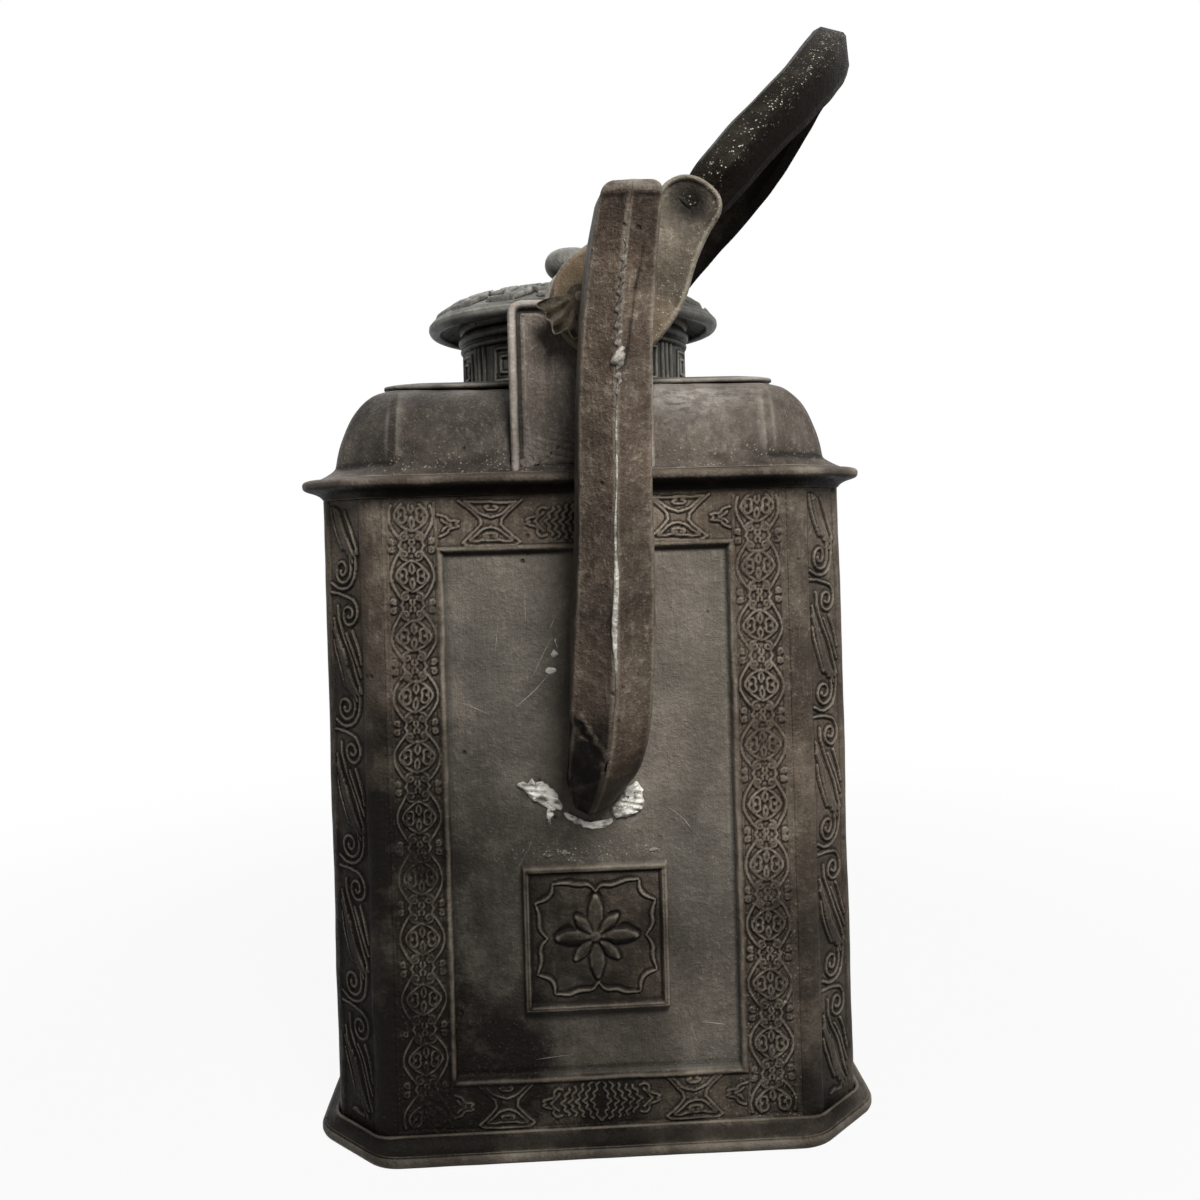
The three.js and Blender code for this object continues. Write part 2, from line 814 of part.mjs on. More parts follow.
function spoutRing(station, grow) {
  const [backOut, backUp] = station.back;
  const [frontOut, frontUp] = station.front;
  const across = new THREE.Vector2(frontOut - backOut, frontUp - backUp);
  const step = across.clone().normalize();
  const at = (share, extra) => [
    backOut + across.x * share + step.x * extra,
    backUp + across.y * share + step.y * extra,
  ];
  const point = (x, [out, up]) =>
    new THREE.Vector3(x, -fieldFace - out, spoutRootHeight + up);
  const back = at(0, -grow);
  const shoulder = at(ridgeShare, grow * 0.4);
  const ridge = at(1, grow);
  const wide = station.wide + grow;
  const narrow = station.narrow + grow;
  return [
    point(-wide, back),
    point(-narrow, shoulder),
    point(0, ridge),
    point(narrow, shoulder),
    point(wide, back),
  ];
}

// A station beyond the last two, so that a bore runs out through the end
function beyond(a, b, share) {
  const mix = (p, q) => p + (q - p) * (1 + share);
  return {
    back: [mix(a.back[0], b.back[0]), mix(a.back[1], b.back[1])],
    front: [mix(a.front[0], b.front[0]), mix(a.front[1], b.front[1])],
    wide: b.wide,
    narrow: b.narrow,
  };
}

function spoutSolid(grow) {
  return solidOf(loft(spoutStations.map((station) => spoutRing(station, grow))));
}

function spoutBore() {
  const last = spoutStations.length - 1;
  const stations = [
    beyond(spoutStations[1], spoutStations[0], 1),
    ...spoutStations,
    beyond(spoutStations[last - 1], spoutStations[last], 0.4),
  ];
  return solidOf(loft(stations.map((station) => spoutRing(station, -spoutWall))));
}

function spoutHalf(side) {
  const shell = spoutSolid(0).subtract(spoutBore());
  const inner = (side * seam) / 2;
  const half = block([Math.min(inner, side * 60), -140, 0], [Math.max(inner, side * 60), 0, 300]);
  return shell.intersect(half);
}

// The solder line that closes the front ridge
function spoutSeamBead() {
  const rings = spoutStations.slice(2).map((station) => {
    const [out, up] = station.front;
    const ridge = new THREE.Vector3(0, -fieldFace - out - seam, spoutRootHeight + up);
    const [backOut, backUp] = station.back;
    const face = new THREE.Vector3(0, -(out - backOut), up - backUp).normalize();
    const half = seamBeadWidth / 2;
    return [
      new THREE.Vector3(-half, ridge.y, ridge.z),
      ridge.clone().addScaledVector(face, seamBeadHeight),
      new THREE.Vector3(half, ridge.y, ridge.z),
    ];
  });
  const bead = solidOf(loft(rings));
  return bead.subtract(spoutSolid(seam * 0.8));
}

// The solder fillet where the spout meets the sunk field
function spoutRootSolder() {
  const root = spoutStations[1];
  const next = spoutStations[2];
  const mix = (p, q) => p + (q - p) * 0.3;
  const upper = {
    back: [mix(root.back[0], next.back[0]), mix(root.back[1], next.back[1])],
    front: [mix(root.front[0], next.front[0]), mix(root.front[1], next.front[1])],
    wide: mix(root.wide, next.wide),
    narrow: mix(root.narrow, next.narrow),
  };
  const rings = [spoutRing(root, solderSpread), spoutRing(upper, 0.9)];
  const fillet = solidOf(loft(rings));
  const plate = block([-60, -fieldFace - seam, 0], [60, 60, 200]);
  return fillet.subtract(spoutSolid(seam)).subtract(plate);
}

// The bent line that the soldered spout follows sideways, by height
function spoutDrift(height) {
  const share = (height - spoutRootHeight) / spoutHeight + 0.04;
  return spoutSway * (0.11 + 0.81 * share - 1.46 * share ** 2 + share ** 3);
}

const bentSpout = (solid) =>
  solid.warp((vertex) => {
    vertex[0] += spoutDrift(vertex[2]);
  });

// Assembly
const sides = [
  ["front", 0],
  ["right", Math.PI / 2],
  ["back", Math.PI],
  ["left", -Math.PI / 2],
];

add("foot_moulding", footMoulding(), pewter);
add("base_plate", basePlate(), pewter);
for (const [name, turn] of sides) {
  const hole = name === "front" ? bentSpout(spoutSolid(seam)) : null;
  add(`${name}_panel`, facePanel(hole), pewter, turn);
  add(`${name}_plaque`, plaque(), pewter, turn);
}
["front_right", "back_right", "back_left", "front_left"].forEach((name, i) => {
  add(`${name}_corner`, cornerPiece(), pewter, (i * Math.PI) / 2);
});
add("shoulder_rim", shoulderRim(), pewter);
add("shoulder_dome", shoulderDome(), pewter);
add("shoulder_top_plate", shoulderTopPlate(), pewter);
add("neck_collar", neckCollar(), darkPewter);
add("flask_wall", flaskWallTube(), pewter);
add("flask_base", flaskBase(), pewter);
add("flask_flange", flaskFlange(), pewter);
add("lid_shell", lidShell(), darkPewter);
add("lid_sleeve", lidSleeve(), darkPewter);
add("lid_knob", lidKnob(), darkPewter);
for (const [name, turn] of [["front", 0], ["rear", Math.PI]]) {
  add(`${name}_ear`, ear(), pewter, turn);
  add(`${name}_pivot_pin`, pivotPin(), bronze, turn);
}
add("front_arm", handleArm(), bronze);
add("rear_arm", handleArm().mirror([0, 1, 0]), bronze);
add("front_leaf", tailLeaf(), bronze);
add("rear_leaf", tailLeaf().mirror([0, 1, 0]), bronze);
add("handle_grip", handleGrip(), bronze);
add("spout_left_shell", bentSpout(spoutHalf(-1)), pewter);
add("spout_right_shell", bentSpout(spoutHalf(1)), pewter);
add("spout_seam_bead", bentSpout(spoutSeamBead()), solder);
add("spout_root_solder", bentSpout(spoutRootSolder()), solder);

export default part;
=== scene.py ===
"""A dressed square pewter wine warmer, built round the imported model. Shapes are worked out in millimetres
and turned into metres when a mesh is made. The spout points towards -Y and +Z is up."""
import math

import bpy
import numpy as np
from mathutils import Matrix, Vector


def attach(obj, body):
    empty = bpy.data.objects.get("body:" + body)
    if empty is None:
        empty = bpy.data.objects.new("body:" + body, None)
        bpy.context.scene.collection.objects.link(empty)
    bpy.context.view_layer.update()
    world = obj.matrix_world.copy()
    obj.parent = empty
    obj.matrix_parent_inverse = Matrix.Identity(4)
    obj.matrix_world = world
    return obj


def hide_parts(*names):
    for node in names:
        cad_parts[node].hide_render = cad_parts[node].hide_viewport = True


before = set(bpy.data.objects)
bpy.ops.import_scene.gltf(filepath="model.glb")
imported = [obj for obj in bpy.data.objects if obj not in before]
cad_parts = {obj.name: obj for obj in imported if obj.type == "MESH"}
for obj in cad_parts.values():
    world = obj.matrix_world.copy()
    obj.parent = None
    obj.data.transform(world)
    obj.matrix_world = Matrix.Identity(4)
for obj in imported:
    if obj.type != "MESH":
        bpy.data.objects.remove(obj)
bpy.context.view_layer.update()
MM = 0.001

# Sizes shared with the model
BODY = 52.5
CORNER = 10.0
EDGE = 5.0
SEAM = 0.3
EDGE_REACH = EDGE * math.tan(math.pi / 8)
PANEL_HALF = BODY - CORNER - EDGE_REACH - 1.0
PLAIN = PANEL_HALF - SEAM / 2
PANEL_LOW, WALL_TOP = 2.5, 127.3
PANEL_DEPTH, CORNER_DEPTH = 2.8, 1.8
FOOT_REACH, FOOT_CORNER = 4.0, 14.4
STRIP_EDGE, STRIP_HALF = 1.1, 4.6
STRIP_MID = PLAIN - STRIP_EDGE - STRIP_HALF
FIELD_BEAD = 1.3
FIELD_HALF = PLAIN - STRIP_EDGE - 2 * STRIP_HALF - FIELD_BEAD
FIELD_LOW, FIELD_HIGH = 14.7, 116.4
FIELD_FACE = BODY - 1.0
BAND_LEVELS, HOURGLASS_MID = (121.9, 9.6), 18.2
RELIEF_LOW, RELIEF_TOP = 5.6, WALL_TOP - 1.2
RIM_LOW, RIM_HIGH = 127.35, 131.6
DOME_LOW, DOME_RISE, DOME_WALL = 131.65, 17.85, 1.6
DOME_FLAT, DOME_EDGE = 37.4, 3.4
MOUTH_HALF, DOME_TOP_HALF = 35.0, 40.3
PLATE_LOW, PLATE_HOLE, PLATE_SETBACK = 149.8, 24.9, 12.3
NECK_LOW, NECK_HIGH, NECK_R, NECK_BORE = 152.6, 166.0, 26.5, 23.3
SPIGOT_LOW, SPIGOT_R = 146.6, 24.6
FLASK_R, FLASK_IN = 22.3, 21.1
FLASK_LOW, FLASK_FLOOR, FLASK_TOP = 12.0, 13.2, 165.9
LIP_R = 27.3
LID_R, LID_SEAT, LID_RISE = 34.3, 169.3, 7.6
KNOB_LOW, KNOB_TOP, KNOB_R = 177.2, 187.0, 6.4
PIVOT = 164.5
EAR_FACE = BODY - 0.7
EAR_HALF, EAR_TOP = 14.0, PIVOT + 6.8
ARM_IN = EAR_FACE + 0.8 + 0.3
ARM_OUT = ARM_IN + 3.0
ARM_MID = (ARM_IN + ARM_OUT) / 2
ARM_LENGTH, GRIP_REACH = 32.7, 90.4
GRIP_WIDTH, GRIP_DEPTH = 12.8, 8.2
PIN_IN, PIN_OUT, PIN_R, PIN_HEAD_R = 46.6, 57.95, 1.3, 3.4
LEAN = math.radians(42.7)
PLAQUE_HALF, PLAQUE_MID = 14.2, 41.2
SPOUT_ROOT, SPOUT_WALL = 77.0, 1.3


# Small tools
def ease(x, a, b):
    """A smooth step from 0 at a to 1 at b."""
    t = np.clip((x - a) / (b - a), 0, 1)
    return t * t * (3 - 2 * t)


def bump_at(x, middle, width):
    return np.exp(-(((x - middle) / width) ** 2))


def waves(points, size, seed, terms=7):
    """A smooth random field, about -1 to 1, whose bumps are about `size` across."""
    rng = np.random.default_rng(seed)
    points = np.asarray(points, float)
    total = np.zeros(len(points))
    for _ in range(terms):
        way = rng.normal(size=points.shape[1])
        way *= (2 * math.pi / (size * rng.uniform(0.7, 1.6))) / np.linalg.norm(way)
        total += np.sin(points @ way + rng.uniform(0, 2 * math.pi))
    return total / math.sqrt(terms) / 1.4


def smooth_rows(rows, count):
    """Rows of numbers joined by a smooth curve and sampled at `count` even steps of the row index."""
    rows = np.asarray(rows, float)
    n = len(rows)
    t = np.linspace(0, n - 1, count)
    i = np.minimum(t.astype(int), n - 2)
    f = (t - i)[:, None]
    p0, p1 = rows[np.maximum(i - 1, 0)], rows[i]
    p2, p3 = rows[i + 1], rows[np.minimum(i + 2, n - 1)]
    return 0.5 * (2 * p1 + (p2 - p0) * f + (2 * p0 - 5 * p1 + 4 * p2 - p3) * f**2
                  + (3 * p1 - p0 - 3 * p2 + p3) * f**3)


def rounded(points, rounds=1, closed=False):
    """Cuts the corners of a path again and again."""
    points = np.asarray(points, float)
    for _ in range(rounds):
        a, b = (points, np.roll(points, -1, 0)) if closed else (points[:-1], points[1:])
        pair = np.stack([a * 0.75 + b * 0.25, a * 0.25 + b * 0.75], 1).reshape(-1, points.shape[1])
        points = pair if closed else np.vstack([points[:1], pair, points[-1:]])
    return points


def resample(points, step, closed=False):
    """Points at even steps along a path."""
    points = np.asarray(points, float)
    if closed:
        points = np.vstack([points, points[:1]])
    gaps = np.linalg.norm(np.diff(points, axis=0), axis=1)
    along = np.concatenate([[0], np.cumsum(gaps)])
    count = max(int(round(along[-1] / step)), 2)
    where = np.linspace(0, along[-1], count + 1)
    if closed:
        where = where[:-1]
    return np.stack([np.interp(where, along, column) for column in points.T], 1)


def bend(a, b, c, count=10):
    t = np.linspace(0, 1, count)[:, None]
    a, b, c = (np.asarray(p, float) for p in (a, b, c))
    return a * (1 - t) ** 2 + 2 * b * t * (1 - t) + c * t**2


def arc(cx, cy, rx, ry, start, end, count):
    turn = np.radians(np.linspace(start, end, count))
    return np.stack([cx + rx * np.cos(turn), cy + ry * np.sin(turn)], 1)


def turned(points, angle):
    c, s = math.cos(angle), math.sin(angle)
    return np.asarray(points) @ np.array([[c, s, 0], [-s, c, 0], [0, 0, 1]])


def directions(vectors):
    return vectors / (np.linalg.norm(vectors, axis=-1, keepdims=True) + 1e-9)


def pairs(a, b):
    """Two sets of numbers side by side, as points in a plane."""
    return np.column_stack([np.ravel(a), np.ravel(b)])


def raised(flat, height):
    """Points of a plan, all put at one height or each at its own."""
    return np.column_stack([flat, np.broadcast_to(height, len(flat))])


def circle(radius, turn, height):
    """Points round the Z axis at the given turns."""
    return raised(pairs(radius * np.cos(turn), radius * np.sin(turn)), height)


# Meshes
def at_points(obj, key):
    """A vector at each point of a mesh: its place or its normal."""
    out = np.empty(len(obj.data.vertices) * 3)
    obj.data.vertices.foreach_get(key, out)
    return out.reshape(-1, 3)


def coords(obj):
    return at_points(obj, "co") / MM


def mesh_object(name, points, faces, smooth=True):
    mesh = bpy.data.meshes.new(name)
    mesh.from_pydata((np.asarray(points, float) * MM).tolist(), [], [[int(i) for i in f] for f in faces])
    mesh.validate(clean_customdata=False)
    mesh.update()
    mesh.polygons.foreach_set("use_smooth", [smooth] * len(mesh.polygons))
    obj = bpy.data.objects.new(name, mesh)
    bpy.context.scene.collection.objects.link(obj)
    return obj


def turn_out(obj):
    """Makes a closed mesh's faces point outward."""
    mesh = obj.data
    mesh.calc_loop_triangles()
    tri = np.empty(len(mesh.loop_triangles) * 3, int)
    mesh.loop_triangles.foreach_get("vertices", tri)
    a, b, c = coords(obj)[tri].reshape(-1, 3, 3).swapaxes(0, 1)
    if np.einsum("ij,ij->i", a, np.cross(b, c)).sum() < 0:
        mesh.flip_normals()
    return obj


def loft(name, rings, closed=False, tips=None):
    """Rings of points (rings, around, 3). Closed makes a ring of rings, tips end it in two points, and
    otherwise both ends are capped."""
    rings = np.asarray(rings, float)
    r, n, _ = rings.shape
    ids = np.arange(r * n).reshape(r, n)
    low = ids if closed else ids[:-1]
    up = np.roll(ids, -1, 0) if closed else ids[1:]
    faces = list(np.stack([low, np.roll(low, -1, 1), np.roll(up, -1, 1), up], -1).reshape(-1, 4))
    points = rings.reshape(-1, 3)
    if tips is not None:
        after = np.roll(ids, -1, 1)
        faces += [(after[0, k], ids[0, k], r * n) for k in range(n)]
        faces += [(ids[-1, k], after[-1, k], r * n + 1) for k in range(n)]
        points = np.vstack([points, tips])
    elif not closed:
        faces += [ids[0][::-1], ids[-1]]
    return turn_out(mesh_object(name, points, faces))


def grid_faces(ids):
    """Four-cornered faces between the neighbours in a grid of point numbers."""
    return np.stack([ids[:-1, :-1], ids[:-1, 1:], ids[1:, 1:], ids[1:, :-1]], -1)


def lathe(name, profile, around=96, wobble=0.0, seed=1):
    """A round solid from [radius, height] points, closed on itself or running from axis to axis."""
    profile = np.asarray(profile, float)
    turn = np.linspace(0, 2 * math.pi, around, endpoint=False)
    solid = profile[0, 0] < 1e-6
    rings = np.array([circle(r, turn, z) for r, z in (profile[1:-1] if solid else profile)])
    if wobble:
        flat = rings.reshape(-1, 3)
        flat += directions(flat * [1, 1, 0]) * (waves(flat, 22, seed) * wobble)[:, None]
    if solid:
        return loft(name, rings, tips=[[0, 0, profile[0, 1]], [0, 0, profile[-1, 1]]])
    return loft(name, rings, closed=True)


made = []


def paint(obj, name, values):
    """Stores a number at each point for the materials, or one number for all points."""
    layer = obj.data.attributes.get(name) or obj.data.attributes.new(name, "FLOAT", "POINT")
    values = np.broadcast_to(values, len(obj.data.vertices))
    layer.data.foreach_set("value", values.astype(np.float32))


def place(obj, body, slot, look, *nodes):
    """Fixes a piece to its body, hides the model's parts that it stands for, and notes its look."""
    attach(obj, body)
    if nodes:
        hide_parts(*nodes)
    made.append((obj, look))
    return obj


# Relief, a height field in millimetres over a rectangle
class Relief:
    def __init__(self, u0, u1, v0, v1, step):
        self.u = np.linspace(u0, u1, int(round((u1 - u0) / step)) + 1)
        self.v = np.linspace(v0, v1, int(round((v1 - v0) / step)) + 1)
        self.rise = np.zeros((len(self.v), len(self.u)))
        self.ditch = np.zeros((len(self.v), len(self.u)))
        self.du, self.dv = self.u[1] - self.u[0], self.v[1] - self.v[0]

    def line(self, points, width=0.4, height=0.4, wrap=False, taper=False, ditch=0.14):
        """A rounded raised line, drawn by hand, with a shallow ditch on both sides."""
        path = resample(points, 0.16)
        for k, seed in ((0, 201), (1, 203)):
            path[:, k] += 0.04 * waves(path, 3, seed) + 0.18 * waves(path, 9, seed + 1)
        n = len(path)
        reach = width * 2.1
        ru, rv = int(reach / self.du) + 1, int(reach / self.dv) + 1
        for k, (pu, pv) in enumerate(path):
            w = width
            if taper:
                w *= min(0.45 + 0.55 * min(k, n - 1 - k) / max(n * 0.35, 1), 1)
            iu, iv = int(round((pu - self.u[0]) / self.du)), int(round((pv - self.v[0]) / self.dv))
            cols = np.arange(iu - ru, iu + ru + 1)
            rows = np.arange(max(iv - rv, 0), min(iv + rv + 1, len(self.v)))
            if not wrap:
                cols = cols[(cols >= 0) & (cols < len(self.u))]
            if not len(cols) or not len(rows):
                continue
            away = np.hypot((self.u[0] + cols * self.du - pu)[None, :], (self.v[rows] - pv)[:, None]) / w
            at = np.ix_(rows, cols % len(self.u))
            self.rise[at] = np.maximum(self.rise[at], height * np.sqrt(np.clip(1 - away**2, 0, 1)))
            self.ditch[at] = np.maximum(self.ditch[at], ditch * bump_at(away, 1.25, 0.5))

    def lines(self, many, **how):
        for points in many:
            self.line(points, **how)

    def height(self):
        return np.where(self.rise > 0, self.rise - 0.5 * self.ditch * (self.rise < 0.12), -self.ditch)


def between(levels, at):
    """The rows of a table, read at fractional row numbers."""
    k = np.minimum(np.asarray(at).astype(int), len(levels) - 2)
    part = np.asarray(at) - k
    return (levels[k].T * (1 - part) + levels[k + 1].T * part).T


def spiral(cx, cy, radius, start, turns, way=1, inner=0.18):
    """A scroll from its outer end, at angle `start` in degrees, in towards its eye."""
    t = np.linspace(0, 1, 40)
    angle = np.radians(start) + way * turns * 2 * math.pi * t
    r = radius * (1 - (1 - inner) * t**0.85)
    return np.stack([cx + r * np.cos(angle), cy + r * np.sin(angle)], 1)


def mirrored(paths, u=True, v=False):
    """The paths with their mirror images across u = 0, v = 0 or both."""
    out = [np.asarray(p, float) for p in paths]
    if u:
        out += [p * [-1, 1] for p in out]
    if v:
        out += [p * [1, -1] for p in out]
    return out


def moved(paths, du, dv):
    return [np.asarray(p) + [du, dv] for p in paths]


PERIOD = 11.64
TOP_MEDALLION = 112.2


def medallion():
    """One lobed medallion with its scrolls, round (0, 0)."""
    half = PERIOD / 2
    z = np.linspace(0, half, 16)
    wave = np.cos(np.pi * np.minimum(z / 5.2, 1) / 2) ** 1.15
    outer = np.stack([1.75 + 2.5 * wave + 0.5 * ease(z, 5.0, half), z], 1)
    lens_z = np.linspace(0, 3.05, 14)
    lens = np.stack([3.2 * (1 - (lens_z / 3.05) ** 1.7) ** 0.8, lens_z], 1)
    quarter = [
        outer,
        lens,
        spiral(1.3, 4.1, 1.0, -110, 1.3, 1),
        [[0, 0.4], [0.42, 1.1], [0.36, 1.9], [0, 2.6]],
        arc(1.75, 0.62, 0.72, 0.8, 215, -70, 12),
        spiral(3.72, 4.9, 0.62, 120, 1.1, -1, 0.3),
        [[0.0, half], [0.5, half - 0.55], [0.35, half - 1.1]],
    ]
    return mirrored(quarter, u=True, v=True)


def hourglass():
    """The pair of facing triangles in the bands, round (0, 0)."""
    half = [
        [[6.1, 4.5], [4.2, 2.9], [1.55, 0.25], [3.4, -1.9], [6.1, -4.2], [0, -4.2]],
        [[5.0, 4.3], [3.5, 3.1], [2.2, 1.85], [0, 1.2]],
        [[5.0, 4.3], [2.5, 4.05], [0, 4.25]],
        [[0, -0.75], [1.7, -1.2], [3.0, -2.5], [4.4, -3.35], [2.4, -3.45], [1.9, -3.1], [0, -3.15]],
        [[0, 2.75], [0.9, 2.75], [1.4, 3.35], [0.6, 3.5]],
        [[0, -1.9], [1.2, -2.0], [1.2, -2.6], [0.4, -2.55]],
    ]
    return mirrored([rounded(p) for p in half])


def arrow():
    """A hooked arrow that points to +u from (0, 0)."""
    one = [[[0, 2.1], [1.6, 1.6], [1.9, 0.75], [3.9, 0.65], [3.3, 0.05]],
           [[0.6, 1.1], [1.1, 0.5], [2.3, 0.1]]]
    return mirrored([rounded(p) for p in one], u=False, v=True)


def cloud_fret():
    """Nested wavy chevrons that close on an arrowhead at each end."""
    paths = []
    for k in range(5):
        top = 3.9 - 0.32 * k
        z = np.linspace(0, top, 12)
        paths.append(np.stack([0.75 + 1.45 * k + 1.3 * (1 - z / top) - 0.65 * np.sin(z * 2.1) ** 2, z], 1))
    paths.append([[7.6, 2.6], [8.6, 2.9], [9.4, 2.0], [9.0, 1.2], [11.6, 0.5], [10.9, 0]])
    paths.append([[8.2, 1.7], [8.9, 1.0], [9.6, 0.3], [9.9, 0]])
    return mirrored([rounded(p) for p in paths], u=True, v=True)


def face_relief():
    """The raised work of one face, as seen from outside."""
    field = Relief(-PLAIN, PLAIN, PANEL_LOW, WALL_TOP, 0.245)
    fine = dict(width=0.32, height=0.4, ditch=0.08)
    for k in range(-1, 10):
        for path in moved(medallion(), STRIP_MID, TOP_MEDALLION - PERIOD * k):
            path = path[(path[:, 1] > RELIEF_LOW) & (path[:, 1] < RELIEF_TOP)]
            if len(path) > 2:
                field.line(path, **fine)
    field.rise = np.maximum(field.rise, field.rise[:, ::-1])
    field.ditch = np.maximum(field.ditch, field.ditch[:, ::-1])
    for level in BAND_LEVELS:
        for side in (-1, 1):
            field.lines(moved(hourglass(), side * HOURGLASS_MID, level), **fine)
        field.lines(moved(cloud_fret(), 0, level), **fine)
        field.lines(mirrored(moved(arrow(), -FIELD_HALF - 0.6, level)), **fine)
    for x in (STRIP_MID - STRIP_HALF, STRIP_MID + STRIP_HALF):
        for side in (-1, 1):
            ends = [[side * x, RELIEF_LOW], [side * x, RELIEF_TOP + 0.2]]
            field.line(ends, width=0.3, height=0.16, ditch=0.05)
    field.line([[-PLAIN, 4.6], [PLAIN, 4.6]], width=0.5, height=0.2, ditch=0.05)
    u, v = np.meshgrid(field.u, field.v)
    out = np.maximum(np.abs(u) - FIELD_HALF, np.maximum(FIELD_LOW - v, v - FIELD_HIGH))
    bead = 0.5 * np.sqrt(np.clip(1 - ((out - 0.72) / 0.5) ** 2, 0, 1))
    sunk = -(BODY - FIELD_FACE) * (1 - ease(out, -0.3, 0.15)) - 0.12 * bump_at(out, -0.7, 0.5)
    rise = np.where(out < 0.2, sunk, field.height())
    return field, np.where((out >= 0.2) & (out < FIELD_BEAD), np.maximum(bead, -0.1), rise)


face, face_rise = face_relief()


def face_lumps(u, v, seed):
    """How far the cast sheet strays from flat at (u, v)."""
    flat = pairs(u, v)
    calm = np.minimum(ease(PLAIN - np.abs(flat[:, 0]), 0, 4), ease(WALL_TOP - flat[:, 1], 0, 3))
    return np.minimum(waves(flat, 34, seed) * 0.17 + waves(flat, 9, seed + 1) * 0.04, 0.12) * calm


STRIDE, STRIDE_MARGIN = 4, 1.6


def whole_strides(steps, low, high):
    """The first and last step between two limits that whole strides fill."""
    start = np.searchsorted(steps, low + STRIDE_MARGIN)
    return start, start + (np.searchsorted(steps, high - STRIDE_MARGIN) - start) // STRIDE * STRIDE


def wide_cells(ids, rows, cols):
    """Wide faces over a block of a grid of point numbers, which keep every point on the block's border."""
    faces = []
    for k in range(*rows, STRIDE):
        for i in range(*cols, STRIDE):
            ends_k, ends_i = [k, k + STRIDE], [i, i + STRIDE]
            all_k, all_i = np.arange(k, k + STRIDE + 1), np.arange(i, i + STRIDE + 1)
            low = ids[k, all_i if k == rows[0] else ends_i]
            top = ids[k + STRIDE, all_i if k + STRIDE == rows[1] else ends_i]
            left = ids[all_k if i == cols[0] else ends_k, i]
            right = ids[all_k if i + STRIDE == cols[1] else ends_k, i + STRIDE]
            faces.append(np.concatenate([low[:-1], right[:-1], top[:0:-1], left[:0:-1]]))
    return faces


def panel(name, turn, seed):
    """One face: relief in front, a plain back, and wider steps in the middle of its sunk field."""
    u, v = face.u, face.v
    nu, nv = len(u), len(v)
    uu, vv = (part.ravel() for part in np.meshgrid(u, v))
    flat = pairs(uu, vv)
    strip = np.abs(np.abs(uu) - STRIP_MID) < STRIP_HALF + 1
    worn = np.clip(0.72 + 0.3 * waves(flat, 15, seed + 3), 0.35, 1)
    rise = face_rise.ravel()
    proud = np.where(rise > 0, rise * worn, rise) + waves(flat, 3.1, seed + 2) * 0.04 * strip
    proud += face_lumps(uu, vv, seed)
    edges = [np.stack([np.full(nv, x), np.full(nv, -BODY + PANEL_DEPTH), v], 1) for x in (u[0], u[-1])]
    points = turned(np.vstack([np.stack([uu, -BODY - proud, vv], 1), *edges]), turn)
    ids = np.arange(nu * nv).reshape(nv, nu)
    west, east = nu * nv + np.arange(2 * nv).reshape(2, nv)
    rows, cols = whole_strides(v, FIELD_LOW, FIELD_HIGH), whole_strides(u, -FIELD_HALF, FIELD_HALF)
    fine = np.ones((nv - 1, nu - 1), bool)
    fine[slice(*rows), slice(*cols)] = False
    walls = [np.stack([a[:-1], b[:-1], b[1:], a[1:]], -1)
             for a, b in ((ids[:, -1], east), (west, ids[:, 0]), (east, west))]
    faces = np.vstack([grid_faces(ids)[fine], *walls])
    others = [[*ids[0][::-1], west[0], east[0]], [*ids[-1], east[-1], west[-1]], *wide_cells(ids, rows, cols)]
    used = np.zeros(len(points), bool)
    used[faces.ravel()] = True
    used[np.concatenate(others)] = True
    new = np.cumsum(used) - 1
    return turn_out(mesh_object(name, points[used], [*new[faces], *(new[cell] for cell in others)]))


# The four sides: name, turn about Z and seed
SIDES = [("front", 0, 11), ("right", math.pi / 2, 21), ("back", math.pi, 31), ("left", -math.pi / 2, 41)]
FRONT_SEED = SIDES[0][2]


def panels():
    """The four faces, with pale specks that are partly painted glints, most on old solder on the front one,
    and cooler metal in the fields.
    """
    for side, turn, seed in SIDES:
        sheet = panel(f"{side}_face", turn, seed)
        x, y, z = coords(sheet).T
        crust = bump_at(z, 57.6, 2.2) * bump_at(x, 1, 13) * (y < 0)
        paint(sheet, "speck_and_glint", 0.05 + 0.7 * crust + 0.22 * ease(x, 5, 40) * (1 - ease(z, 30, 70)))
        paint(sheet, "cool", 0.5 * (np.abs(x) < FIELD_HALF) * (z > FIELD_LOW) * (z < FIELD_HIGH))
        place(sheet, "canister", "pewter_body", "body", f"{side}_panel")


panels()


def plaque_relief():
    """A framed tile with a scalloped line round a flower of eight petals."""
    field = Relief(-PLAQUE_HALF, PLAQUE_HALF, -PLAQUE_HALF, PLAQUE_HALF, 0.22)
    u, v = np.meshgrid(field.u, field.v)
    quarter = [rounded([[0, 8.7], [1.1, 10.3], [3.3, 10.1], [5.6, 11.0], [8.4, 10.8]], 2),
               rounded([[9.5, 0], [11.1, 1.8], [10.7, 4.4], [11.6, 6.9]], 2),
               rounded([[8.4, 10.8], [8.5, 8.8], [9.4, 7.6], [11.6, 6.9]], 2)]
    field.lines(mirrored(quarter, u=True, v=True), width=0.45, height=0.5, taper=True)
    for k in range(8):
        c, s = math.cos(k * math.pi / 4), math.sin(k * math.pi / 4)
        long, wide = (5.7, 1.1) if k % 2 else (7.6, 1.45)
        petal = np.array([[1.5, 0], [long, 0]]) @ np.array([[c, s], [-s, c]])
        field.line(petal, width=wide, height=0.7, taper=True, ditch=0.25)
    field.line(arc(0, 0, 0.5, 0.5, 0, 360, 12), width=0.9, height=0.85, ditch=0.2)
    edge = PLAQUE_HALF - np.maximum(np.abs(u), np.abs(v))
    frame_rise = ease(edge, 0, 0.45) * (1 - ease(edge, 1.1, 1.75))
    return field, 0.75 * ease(edge, 0, 0.2) + frame_rise + np.where(edge > 1.7, field.height(), 0)


tile, tile_rise = plaque_relief()


